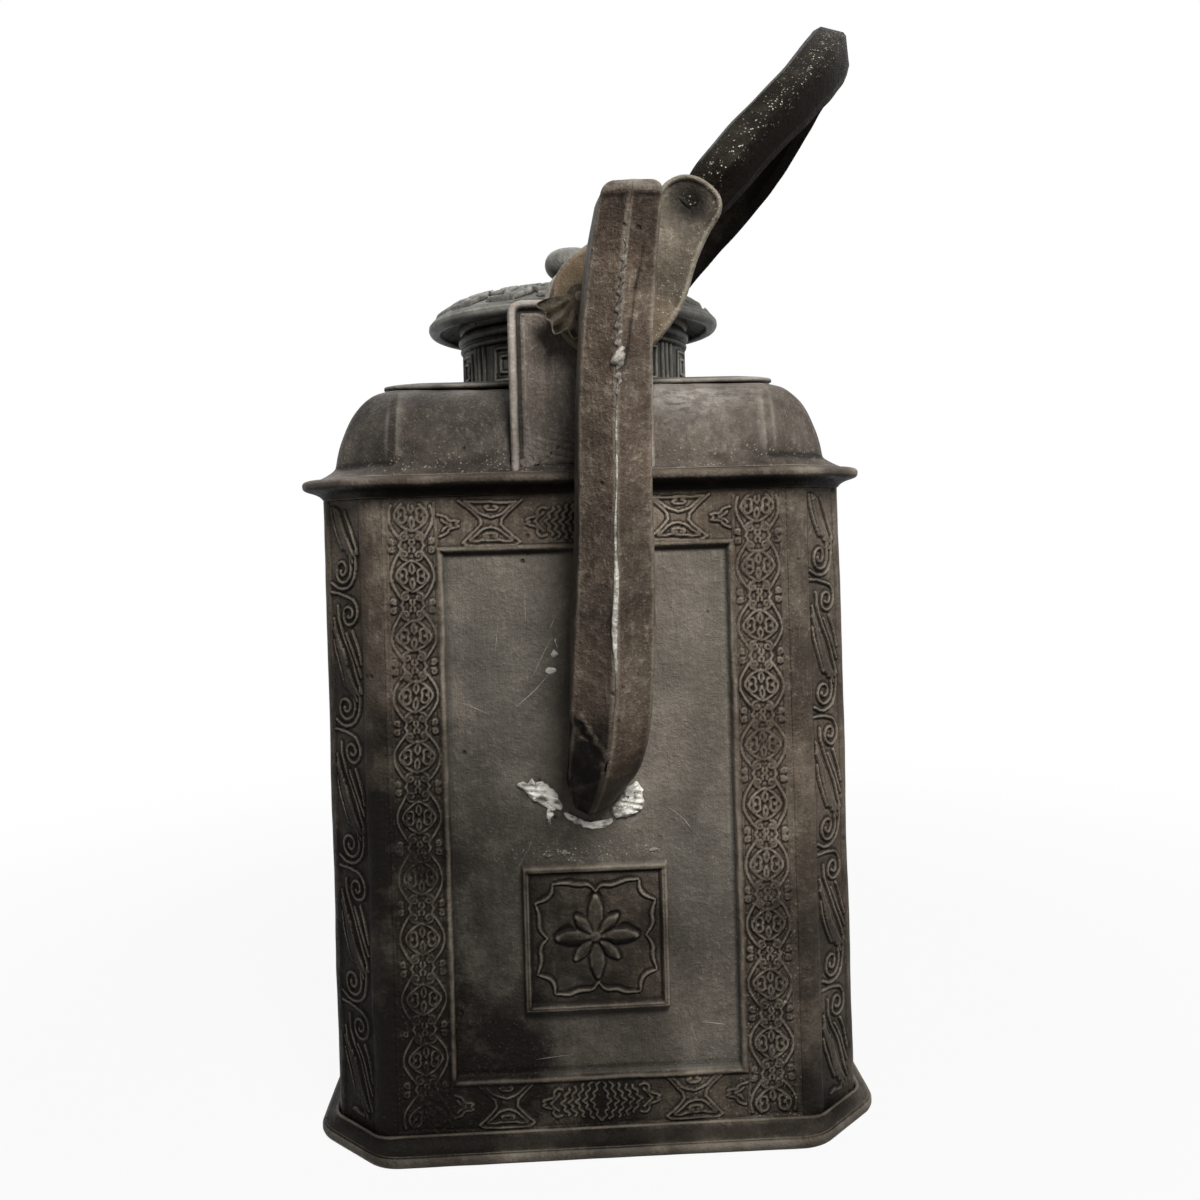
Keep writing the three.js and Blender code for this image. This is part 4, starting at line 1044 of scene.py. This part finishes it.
def spout_ring(row, wall, side):
    """Half of a section, from the middle of its back to its front ridge."""
    back, front, (wide, narrow, share, full) = row[0:2], row[2:4], row[4:8]
    step = directions(front - back)
    half = share + (1 - share) * full
    places = [(0, 0.0, wall), (wide - wall, 0.0, wall), (narrow - wall, share, 0),
              (narrow * 0.52 - wall * 0.5, half, -wall * 0.8), (0, 1.0, -wall)]
    return np.array([[side * x, *(back + (front - back) * part + step * extra)] for x, part, extra in places])


def dense(path, cuts):
    """A path cut finer, span by span, and smoothed a little."""
    out = []
    for a, b, n in zip(path[:-1], path[1:], cuts):
        out += [a + (b - a) * t for t in np.linspace(0, 1, n, endpoint=False)]
    out = np.array([*out, path[-1]])
    for _ in range(2):
        out[1:-1] = (out[:-2] + out[1:-1] * 2 + out[2:]) / 4
    return out


OUTER_CUTS, INNER_CUTS = (5, 12, 9, 9), (3, 3, 4, 2)
OUTSIDE = sum(OUTER_CUTS) + 1
LIP_RISE = 2.0


def spout_section(row, side):
    """A half of the spout at one level: round its outer side, then back along its inner side."""
    return np.vstack([dense(spout_ring(row, 0.0, side), OUTER_CUTS),
                      dense(spout_ring(row, SPOUT_WALL, side)[::-1], INNER_CUTS)])


def spout_lip(section):
    """Rings that round the spout's mouth over."""
    centre = section.mean(0) * [0, 1, 1]
    for turn in np.radians(np.linspace(8, 90, 7)):
        bevel = 1 - math.cos(turn)
        ring = section.copy()
        ring[:OUTSIDE] -= directions((ring[:OUTSIDE] - centre) * [1, 1, 0]) * bevel
        ring[:, 0] *= 1 - 0.26 * bevel
        ring[:, 2] -= LIP_RISE * (1 - math.sin(turn))
        yield ring


# The fold where the spout's elbow is torn, from its upper left to its lower right as [x, height]
ELBOW_A, ELBOW_B = np.array([-5.9, 85.0]), np.array([0.45, 76.0])


def torn_elbow(x, z):
    """Along the fold, 1 where it is torn; how deep it cuts; and the distance across it."""
    along = directions(ELBOW_B - ELBOW_A)
    off = np.column_stack([x, z]) - ELBOW_A
    reach, across = off @ along, off @ np.array([along[1], -along[0]])
    span = ease(reach, -2.5, -0.5) * (1 - ease(reach, 10.5, 12))
    ragged = across + waves(pairs(x, z), 2.4, 107) * 0.35
    cut_in = 0.75 * bump_at(ragged, 0, 0.45) - 0.3 * bump_at(ragged, -0.95, 0.5)
    cut_in += 0.45 * ease(across, 0, 0.6) * (1 - ease(across, 9, 13))
    return span, cut_in, across


def side_fold(x, z):
    """A shallow crease down the right half of the front, near the top."""
    middle = np.interp(z, [146, 154, 164, 174], [0.6, 1.6, 2.6, 3.6]) + 0.3 * waves(pairs(z, z * 0), 9, 109)
    return 0.22 * bump_at(x, middle, 0.5) * ease(z, 146, 152) * (1 - ease(z, 168, 175))


def spout_half(name, side):
    """The left or right half of the folded spout, with its soot, painted shade at its root, below the torn
    fold and low on its left, and a brighter edge round its mouth, partly worn bare and partly a painted
    highlight.
    """
    rows = smooth_rows(SPOUT, 150)
    rings = [spout_section(row, side) for row in rows[rows[:, 3] < rows[-1, 3] - LIP_RISE - 0.2]]
    rings = np.array([*rings, *spout_lip(spout_section(rows[-1], side))])
    facing = directions((rings - rings.mean(1, keepdims=True)).reshape(-1, 3) * [1, 1, 0.2])
    flat = rings.reshape(-1, 3)
    x, out, z = (flat + [0, 0, SPOUT_ROOT]).T
    is_outer = np.tile(np.arange(rings.shape[1]) < OUTSIDE, len(rings))
    front = is_outer & (out > 3)
    push = waves(flat, 16, 103) * 0.2 + waves(flat, 5, 104) * 0.07 + waves(flat, 2.2, 105) * 0.03 - 0.22
    push *= ease(np.abs(x), 0, 1.5)
    # Soot all over, with painted shade at the root under the elbow, and darker near the top.
    soot_and_shade = 0.47 + 0.35 * (1 - ease(z, 62, 78)) + 0.14 * waves(flat, 14, 108) + 0.14 * ease(z, 150, 172)
    # Painted highlight: less soot along the edge of the mouth.
    soot_and_shade -= 0.08 * ease(z, 178.2, 179.6)
    if side < 0:
        span, cut_in, across = torn_elbow(x, z)
        push -= front * span * cut_in
        # Painted shade on the lower side of the torn fold.
        soot_and_shade += front * span * 0.5 * ease(across, 0, 0.6) * (1 - ease(across, 14, 18))
        # Painted shade low on the left half.
        soot_and_shade += 0.34 * (1 - ease(z, 85, 115))
    else:
        push -= front * side_fold(x, z)
    flat = flat + facing * push[:, None]
    level = SPOUT_ROOT + flat[:, 2]
    points = np.column_stack([flat[:, 0] + drift(level), -FIELD_FACE - flat[:, 1], level])
    obj = loft(name, points.reshape(rings.shape))
    paint(obj, "soot_and_shade", np.clip(soot_and_shade, 0, 1))
    paint(obj, "bare_and_highlight", 0.12 * ease(z, 178.4, 180.2) * is_outer)
    return obj


place(spout_half("spout_left", -1), "canister", "pewter_body", "spout", "spout_left_shell")
place(spout_half("spout_right", 1), "canister", "pewter_body", "spout", "spout_right_shell")


def ridge_at(z):
    """The front ridge's [x, y] at a height."""
    rows = smooth_rows(SPOUT, 150)
    level = SPOUT_ROOT + rows[:, 3]
    order = np.argsort(level)
    return drift(z), -FIELD_FACE - np.interp(z, level[order], rows[order, 2])


def seam_bead():
    """Solder run down the spout's front ridge: roped above, thin and bright below."""
    levels = np.arange(84.0, 170.6, 0.3)
    turn = np.linspace(0, 2 * math.pi, 14, endpoint=False)
    roped = ease(levels, 141, 146)
    line = np.column_stack([levels, levels * 0])
    half = 0.24 + 0.06 * waves(line, 9, 111) + 0.06 * waves(line, 2.5, 112)
    half += 0.32 * bump_at(levels, 106, 9) + 0.75 * bump_at(levels, 150.6, 1.5)
    half += roped * (0.25 + 0.14 * np.sin(levels * 4.4))
    half *= ease(levels, 83.5, 88) * (1 - ease(levels, 168, 171)) * 0.9 + 0.1
    tall = 0.3 + 0.22 * half + 0.35 * bump_at(levels, 150.6, 1.5)
    wander = waves(line, 22, 113) * 0.35 + roped * 0.2 * np.sin(levels * 2.2)
    rings = []
    for z, w, h, dx in zip(levels, half, tall, wander):
        x, y = ridge_at(z)
        rings.append(np.column_stack([x + dx + w * np.cos(turn), y + 0.18 - h * np.sin(turn),
                                      np.full(len(turn), z) + 0.5 * w * np.cos(turn) * (z > 141)]))
    obj = loft("spout_solder_line", rings)
    z = coords(obj)[:, 2]
    paint(obj, "bare_and_highlight", ease(z, 88, 100) * (1 - 0.9 * ease(z, 136, 144)) * 0.5)
    paint(obj, "soot_and_shade", 0.3 + 0.25 * ease(z, 136, 144))
    return obj


place(seam_bead(), "canister", "bright_solder", "solder", "spout_seam_bead")


def on_front(flat, lift):
    """Points lifted off the front field's sheet, from [x, height] pairs."""
    sheet = FIELD_FACE + face_lumps(flat[:, 0], flat[:, 1], FRONT_SEED)
    return np.column_stack([flat[:, 0], -sheet - lift, flat[:, 1]])


def smear(name, shape, height, seed, base=0.05):
    """A thin ragged patch of solder lying on the front face, streaked across."""
    shape = resample(rounded(shape, 2, closed=True), 0.22, closed=True)
    shape = shape + np.column_stack([waves(shape, 1.6, seed), waves(shape, 1.6, seed + 1)]) * 0.3
    middle = shape.mean(0)
    rings = []
    for share, level in ((1.0, -0.35), (1.0, base), (0.93, 0.6), (0.82, 0.85), (0.68, 1), (0.52, 1),
                         (0.36, 1), (0.2, 1), (0.07, 1)):
        ring = middle + (shape - middle) * share
        rough = waves(ring, 1.6, seed + 2) * 0.3 + 0.22 * np.sin(ring[:, 1] * 5.5 + ring[:, 0] * 1.2)
        lift = level if level <= base else base + height * level * (1 + rough)
        rings.append(on_front(ring, lift))
    return loft(name, rings)


# Solder left round the spout's root: name, outline, thickness and seed
ROOT_SOLDER = [
    ("solder_left", [[-15.0, 71.4], [-11.6, 71.8], [-8.6, 71.0], [-6.6, 68.8], [-5.6, 66.4], [-7.4, 65.4],
                     [-9.2, 66.6], [-11.2, 67.6], [-12.6, 69.0], [-13.6, 70.2]], 0.5, 121),
    ("solder_left_tail", [[-9.2, 66.6], [-7.8, 66.2], [-8.0, 63.4], [-8.8, 62.6]], 0.25, 124),
    ("solder_right", [[4.2, 66.6], [6.6, 69.2], [8.6, 71.4], [9.6, 69.8], [10.2, 67.4], [9.8, 65.2],
                      [7.6, 64.0], [4.6, 63.6], [3.4, 64.8]], 0.9, 127),
    ("solder_low", [[-5.8, 64.9], [-3.6, 63.0], [-1.0, 62.0], [1.4, 62.0], [3.8, 62.9], [3.6, 63.8],
                    [1.2, 63.3], [-1.0, 63.2], [-3.2, 64.0], [-5.2, 65.4]], 0.35, 131),
]


def root_solder():
    """The patches round the spout's root, the first of which stands for the model's solder."""
    for k, (name, shape, height, seed) in enumerate(ROOT_SOLDER):
        piece = smear(name, shape, height, seed)
        paint(piece, "bare_and_highlight", 1.0)
        place(piece, "canister", "bright_solder", "solder", *(["spout_root_solder"] if k == 0 else []))


root_solder()

# Long scratches on the front face: path and half width
SCRATCHES = [([[-7.0, 99.6], [-9.2, 95.6], [-11.2, 91.6]], 0.16),
             ([[-7.6, 92.6], [-10.6, 89.2], [-14.6, 86.0]], 0.15),
             ([[-6.0, 104.0], [-7.8, 100.4]], 0.12), ([[-26, 87.6], [-23.4, 86.8], [-19.2, 84.6]], 0.1),
             ([[20.2, 23.4], [25.0, 22.6]], 0.2), ([[-12.4, 17.6], [-5.2, 18.2]], 0.16),
             ([[14.0, 66.0], [17.5, 63.6], [19.8, 60.2]], 0.12)]


def short_scratches(count):
    """Random short scratches that run mostly upright."""
    rng = np.random.default_rng(7)
    for _ in range(count):
        start = np.array([rng.uniform(-26, 26), rng.uniform(18, 114)])
        way = rng.uniform(-0.5, 0.5) + math.pi / 2
        length = rng.uniform(1.5, 6)
        yield [start, start + length * np.array([math.cos(way), math.sin(way)])], rng.uniform(0.05, 0.1)


def scratches():
    """Short slivers that barely stand off the front face."""
    points, faces, first = [], [], 0
    for path, half in [*SCRATCHES, *short_scratches(16)]:
        path = resample(rounded(path, 2), 0.5)
        n = len(path)
        side = directions(np.gradient(path, axis=0)) @ np.array([[0, 1], [-1, 0]])
        taper = np.sin(np.linspace(0.12, math.pi - 0.12, n))[:, None] * half
        points += [on_front(path + side * taper * sign, lift)
                   for sign, lift in ((1, -0.06), (0, 0.05), (-1, -0.06))]
        ids = first + np.arange(3 * n).reshape(3, n)
        first += 3 * n
        for a, b in zip(ids, np.roll(ids, -1, 0)):
            faces += list(np.stack([a[:-1], a[1:], b[1:], b[:-1]], -1))
        faces += [ids[:, 0], ids[::-1, -1]]
    obj = turn_out(mesh_object("face_scratches", np.vstack(points), faces))
    paint(obj, "bare_and_highlight", 0.22)
    return obj


place(scratches(), "canister", "bright_solder", "solder")

# Flecks of solder on the front face: name, middle, half sizes, share of bare metal and seed
FLECKS = [("fleck_a", (-6.6, 96.2), (0.7, 0.9), 0.7, 141), ("fleck_b", (-6.3, 98.4), (0.3, 1.0), 0.7, 142),
          ("fleck_c", (-7.5, 93.0), (0.9, 0.8), 0.7, 143), ("fleck_d", (11.8, 57.4), (0.9, 0.35), 0.15, 144),
          ("fleck_e", (-9.0, 57.0), (0.8, 0.45), 0.15, 145), ("fleck_f", (-5.6, 57.4), (1.1, 0.4), 0.15, 146)]


def flecks():
    for name, middle, half_sizes, bare_and_highlight, seed in FLECKS:
        piece = smear(name, arc(*middle, *half_sizes, 0, 324, 10), 0.16, seed, 0.02)
        paint(piece, "bare_and_highlight", bare_and_highlight)
        place(piece, "canister", "bright_solder", "solder")


flecks()


# Materials
class Tree:
    """The nodes of a material or a world, empty at first, with short ways to add what is needed."""

    def __init__(self, owner):
        owner.use_nodes = True
        self.nodes, self.links = owner.node_tree.nodes, owner.node_tree.links
        self.nodes.clear()
        self.where = self.node("TexCoord", {}).outputs["Object"]

    def node(self, kind, inputs, **settings):
        """A new node. Each input is set to a value or wired to another node's output."""
        node = self.nodes.new("ShaderNode" + kind)
        for key, value in settings.items():
            setattr(node, key, value)
        for key, value in inputs.items():
            socket = node.inputs[key]
            if isinstance(value, bpy.types.NodeSocket):
                self.links.new(value, socket)
            else:
                socket.default_value = (*value, 1) if socket.type == "RGBA" else value
        return node

    def stretched(self, x, y, z):
        return self.node("Mapping", {"Vector": self.where, "Scale": (x, y, z)}).outputs[0]

    def noise(self, scale, detail, rough, shift, where=None):
        inputs = {"Vector": where or self.where, "Scale": scale, "Detail": detail, "Roughness": rough}
        return self.node("TexNoise", {**inputs, "W": shift}, noise_dimensions="4D").outputs["Fac"]

    def dots(self, scale):
        return self.node("TexVoronoi", {"Vector": self.where, "Scale": scale}).outputs["Distance"]

    def span(self, value, a, b, c=0.0, d=1.0):
        """The value carried smoothly from the range a to b over to the range c to d."""
        inputs = {"Value": value, "From Min": a, "From Max": b, "To Min": c, "To Max": d}
        return self.node("MapRange", inputs, interpolation_type="SMOOTHSTEP").outputs[0]

    def chain(self, operation, *values):
        """Values joined one after another by an operation."""
        total = values[0]
        for value in values[1:]:
            total = self.node("Math", {0: total, 1: value}, operation=operation).outputs[0]
        return total

    def times(self, *values):
        return self.chain("MULTIPLY", *values)

    def plus(self, *values):
        return self.chain("ADD", *values)

    def mix(self, share, a, b):
        return self.node("Mix", {0: share, 6: a, 7: b}, data_type="RGBA").outputs[2]

    def mark(self, name):
        """The numbers that a piece was painted with."""
        return self.node("Attribute", {}, attribute_name=name).outputs["Fac"]

    def shown_rays(self):
        """1 for rays that show a background: from the camera, a reflection or glass."""
        path = self.node("LightPath", {})
        kinds = ("Is Camera Ray", "Is Glossy Ray", "Is Transmission Ray")
        return self.chain("MAXIMUM", *(path.outputs[kind] for kind in kinds))

    def shown_apart(self, share, lit, shown, output):
        """Ends the tree on one shader for lighting and another for what is seen."""
        both = self.node("MixShader", {0: share, 1: lit.outputs[0], 2: shown.outputs[0]})
        self.node(output, {"Surface": both.outputs[0]})


def patina(name, dark, mid, pale, warm, rough=0.5, metal=0.05, shift=0.0, grain=1.0, wear=1.0,
           shine=0.07):
    """Aged metal: clouded and grained, pale where worn, dark where sunk, with pits, and, where a piece is
    painted with them, dark with soot and painted shade, pale with bare metal and painted highlights, and
    flecked with pale specks that are partly painted glints."""
    material = bpy.data.materials.new(name)
    look = Tree(material)
    raised_parts = look.span(look.mark("wear"), 0.53, 0.9)
    sunk_parts = look.span(look.mark("wear"), 0.49, 0.25)
    soot_and_shade, bare_and_highlight, gold, speck_and_glint = (look.mark(key) for key in ("soot_and_shade", "bare_and_highlight", "gold", "speck_and_glint"))
    streak = look.noise(1300, 4, 0.65, shift, look.stretched(1, 1, 0.12))
    clouds = look.span(look.noise(30, 5, 0.62, shift), 0.36, 0.66)
    blots = look.span(look.noise(110, 6, 0.7, shift + 1), 0.4, 0.66)
    fine = look.noise(620, 5, 0.72, shift + 2)
    crumbs = look.noise(1900, 3, 0.7, shift + 3)
    tint = look.span(look.noise(22, 3, 0.5, shift + 4), 0.42, 0.62)
    worn = look.span(look.noise(90, 3, 0.6, shift + 5), 0.35, 0.62, 0.2, 0.85)
    pitted = look.span(look.noise(60, 2, 0.5, shift + 6), 0.56, 0.62)
    pits = look.times(look.span(look.dots(260), 0.16, 0.05), pitted)
    ragged = look.noise(700, 5, 0.7, shift + 7, look.stretched(0.4, 1, 1))
    bright = look.times(bare_and_highlight, look.span(ragged, 0.42, 0.56, 0.12, 1.0))
    # Pale specks, partly painted glints.
    specks_and_glints = look.times(look.span(look.dots(1500), 0.34, 0.14), look.span(fine, 0.46, 0.56), speck_and_glint)
    # How dark each point is painted: soot and painted shade from its marks, with clouds and blots.
    shade = look.plus(soot_and_shade, look.span(clouds, 0, 1, 0.1, -0.1), look.span(blots, 0, 1, 0.08, -0.08),
                      look.times(raised_parts, soot_and_shade, -0.3))
    deep = tuple(part * 0.2 for part in dark)
    base = dark
    for share, colour in (
            (look.plus(look.times(clouds, 0.55), look.times(blots, 0.45)), mid),
            (look.times(look.span(streak, 0.48, 0.72), 0.25), pale),
            (look.times(look.span(streak, 0.5, 0.3), 0.3), dark),
            (look.times(tint, 0.275), warm),
            (look.times(look.span(fine, 0.52, 0.7), 0.6 * grain), pale),
            (look.times(look.span(fine, 0.48, 0.3), 0.75 * grain), dark),
            (look.times(look.span(crumbs, 0.54, 0.74), 0.6 * grain), pale),
            (look.times(look.span(crumbs, 0.46, 0.28), 0.7 * grain), dark),
            (look.times(raised_parts, worn, wear), pale),
            (look.times(sunk_parts, 0.85), deep),
            (gold, GILT), (look.mark("cool"), COOL), (look.times(shade, 0.96), SOOT_AND_SHADE),
            (look.times(pits, 0.7), deep), (specks_and_glints, SPECK_AND_GLINT), (bright, BARE_AND_HIGHLIGHT)):
        base = look.mix(share, base, colour)
    gloss = look.plus(look.span(fine, 0.3, 0.7, rough - 0.09, rough + 0.1), look.times(raised_parts, -0.1),
                      look.times(bright, -0.14), look.times(specks_and_glints, -0.2))
    height = look.plus(look.times(fine, 0.75 * grain), look.times(crumbs, 0.35 * grain),
                       look.times(streak, 0.3), look.times(look.noise(210, 4, 0.6, shift + 8), 0.6),
                       look.times(specks_and_glints, 0.3), look.times(pits, -0.5))
    bump = look.node("Bump", {"Strength": 0.85, "Distance": 0.0008, "Height": height})
    shader = look.node("BsdfPrincipled", {
        "Base Color": base, "Metallic": metal, "Specular IOR Level": shine, "Roughness": gloss,
        "Normal": bump.outputs[0]})
    look.node("OutputMaterial", {"Surface": shader.outputs[0]})
    return material


# Gilt and cool tones, the near black of soot and painted shade, the pale of specks and painted glints, the
# pale of bare metal and painted highlights, and a brown.
GILT, COOL, SOOT_AND_SHADE = (0.15, 0.105, 0.064), (0.122, 0.117, 0.104), (0.004, 0.003, 0.0022)
SPECK_AND_GLINT, BARE_AND_HIGHLIGHT, BROWN = (0.42, 0.39, 0.33), (0.55, 0.54, 0.5), (0.15, 0.105, 0.075)

# Each look's dark, middle, pale and warm colours, and what sets it apart
looks = {
    "body": patina("aged_pewter", (0.064, 0.051, 0.039), (0.156, 0.132, 0.105), (0.26, 0.23, 0.19), BROWN),
    "dome": patina("cast_pewter", (0.062, 0.053, 0.045), (0.15, 0.13, 0.112), (0.29, 0.265, 0.235), BROWN,
                   shift=2.3, grain=0.9),
    "spout": patina("spout_pewter", (0.056, 0.04, 0.03), (0.135, 0.108, 0.083), (0.29, 0.255, 0.21),
                    (0.13, 0.075, 0.048), shift=5.1, grain=1.15, wear=0.5),
    "lid": patina("grey_pewter", (0.05, 0.05, 0.044), (0.135, 0.133, 0.118), (0.3, 0.3, 0.275),
                  (0.13, 0.12, 0.095), 0.45, 0.12, shift=7.7, grain=0.7),
    "bronze": patina("olive_bronze", (0.05, 0.043, 0.032), (0.13, 0.112, 0.088), (0.25, 0.225, 0.18),
                     (0.14, 0.1, 0.055), shift=9.2),
    "grip": patina("dark_bronze", (0.02, 0.0188, 0.0145), (0.05, 0.047, 0.037), (0.11, 0.107, 0.09),
                   (0.045, 0.031, 0.02), 0.45, 0.02, shift=11.4, shine=0.02),
    "solder": patina("bare_solder", (0.062, 0.052, 0.042), (0.16, 0.14, 0.118), (0.42, 0.4, 0.36), BROWN,
                     0.42, 0.2, shift=13.1),
}


def mark_wear(obj, gain, rounds=4):
    """Stores how far each point stands out from its surroundings, 0.5 being level."""
    mesh, co = obj.data, coords(obj)
    n = len(co)
    edges = np.empty(len(mesh.edges) * 2, int)
    mesh.edges.foreach_get("vertices", edges)
    a, b = edges.reshape(-1, 2).T
    degree = np.bincount(a, minlength=n) + np.bincount(b, minlength=n) + 1.0
    soft = co.copy()
    for _ in range(rounds):
        total = soft.copy()
        for k in range(3):
            total[:, k] += np.bincount(a, soft[b, k], n) + np.bincount(b, soft[a, k], n)
        soft = total / degree[:, None]
    out = np.einsum("ij,ij->i", co - soft, at_points(obj, "normal"))
    if obj.name.endswith(("_face", "_cut_corner")):
        aside = np.minimum(np.abs(co[:, 0]), np.abs(co[:, 1]))
        out *= ease(np.abs(aside - PLAIN), 0.8, 1.6)
    paint(obj, "wear", np.clip(0.5 + out * gain, 0, 1))


def mark_soot_and_shade(obj, extra=0.0):
    """Darkens the canister towards the bottom, partly as soot from a fire and partly as painted shade, and
    paints shade on its left side, darkest low down, and on what faces down.
    """
    co = coords(obj)
    x, y, z = co.T
    low = np.clip((112 - z) / 97, 0, 1)
    # Painted shade: the left side is darker, as if lit from the right, most of all low down.
    left = ease(-x, -25, 35)
    in_field = (np.minimum(np.abs(x), np.abs(y)) < FIELD_HALF) & (z > FIELD_LOW) & (z < FIELD_HIGH)
    soot_and_shade = 0.45 * low - 0.1 + left * (0.1 + 0.95 * low) + 0.3 * ~in_field + extra
    # Painted shade on what faces down, such as the lid's underside and the rim's undercut.
    soot_and_shade += 0.7 * ease(-at_points(obj, "normal")[:, 2], 0, 0.6) * (z < 172)
    paint(obj, "soot_and_shade", np.clip(soot_and_shade + 0.08 * waves(co, 40, 151) + 0.07 * waves(co, 13, 152), 0, 1))


# How much darker or lighter some pieces are painted, each all over. The ears are painted lighter to make up
# for the spout's shadow on them, which is painted light.
EXTRA = {"neck": 0.1, "shoulder_bell": 0.38, "shoulder_top": 0.4, "front_tile": 0.22,
         "shoulder_lip": 0.25, "front_left_cut_corner": 0.15, "front_right_cut_corner": 0.1,
         "front_lug": -0.38, "rear_lug": -0.38}


def dress():
    """Gives every piece its marks and its look, and the model's own nodes the body's."""
    for obj, look in made:
        mark_wear(obj, 0.9 if look == "grip" else 2.8)
        if not obj.data.attributes.get("soot_and_shade"):
            mark_soot_and_shade(obj, EXTRA.get(obj.name, 0.0))
        obj.data.materials.append(looks[look])
    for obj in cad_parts.values():
        mark_wear(obj, 0.3, 1)
        mark_soot_and_shade(obj)
        obj.data.materials.clear()
        obj.data.materials.append(looks["body"])


dress()

scene = bpy.context.scene
scene.view_settings.view_transform = "Standard"


def room():
    """A faint even light from all round, which shows white behind the object."""
    scene.world = bpy.data.worlds.new("room")
    tree = Tree(scene.world)
    fill = tree.node("Background", {"Color": (1, 0.99, 0.97), "Strength": 0.12})
    seen = tree.node("Background", {"Color": (1, 1, 1)})
    tree.shown_apart(tree.shown_rays(), fill, seen, "OutputWorld")


def pale_floor():
    """A plain floor that shows white and keeps the shadow near the object."""
    size = 4000
    square = [[-size, -size, 0], [size, -size, 0], [size, size, 0], [-size, size, 0]]
    floor = mesh_object("floor", square, [[0, 1, 2, 3]], smooth=False)
    material = bpy.data.materials.new("pale_floor")
    tree = Tree(material)
    away = tree.node("VectorMath", {0: tree.where}, operation="LENGTH").outputs["Value"]
    white = tree.times(tree.shown_rays(), tree.span(away, 0.1, 0.36, 0.93, 1.0))
    matte = tree.node("BsdfDiffuse", {"Color": (0.25, 0.245, 0.24)})
    tree.shown_apart(white, matte, tree.node("Emission", {}), "OutputMaterial")
    floor.data.materials.append(material)


def lamp(name, spot, aim, size, power, colour=(1, 1, 1)):
    data = bpy.data.lights.new(name, "AREA")
    data.shape = "DISK"
    data.size, data.energy, data.color = size, power, colour
    obj = bpy.data.objects.new(name, data)
    scene.collection.objects.link(obj)
    obj.location = spot
    obj.rotation_euler = (Vector(aim) - Vector(spot)).to_track_quat("-Z", "Y").to_euler()


room()
pale_floor()
lamp("key", (0.125, -0.36, 0.42), (0.01, -0.03, 0.14), 0.2, 4.6, (1, 0.98, 0.95))
lamp("back", (-0.12, 0.25, 0.55), (0, 0, 0.12), 0.4, 1.2, (0.96, 0.98, 1))

# The camera as it was held: its place, its direction, its roll, its lens and how its frame is shifted
CAMERA_SPOT = (-6.40, -273.46, 122.0)
CAMERA_WAY = (0.04013, 0.99919, 0)
CAMERA_ROLL = math.radians(1.61)
CAMERA_SENSOR, CAMERA_LENS = 36, 34.2
CAMERA_SHIFT = (0.0019, -0.0666)


def set_camera():
    camera = bpy.data.objects.new("camera", bpy.data.cameras.new("camera"))
    scene.collection.objects.link(camera)
    camera.data.sensor_width, camera.data.lens = CAMERA_SENSOR, CAMERA_LENS
    camera.data.shift_x, camera.data.shift_y = CAMERA_SHIFT
    camera.data.clip_start = 0.01
    forward, upright = Vector(CAMERA_WAY).normalized(), Vector((0, 0, 1))
    level = forward.cross(upright)
    c, s = math.cos(CAMERA_ROLL), math.sin(CAMERA_ROLL)
    axes = (level * c - upright * s, upright * c + level * s, -forward, Vector(CAMERA_SPOT) * MM)
    camera.matrix_world = Matrix([[axis[k] for axis in axes] for k in range(3)] + [[0, 0, 0, 1]])
    scene.camera = camera


set_camera()
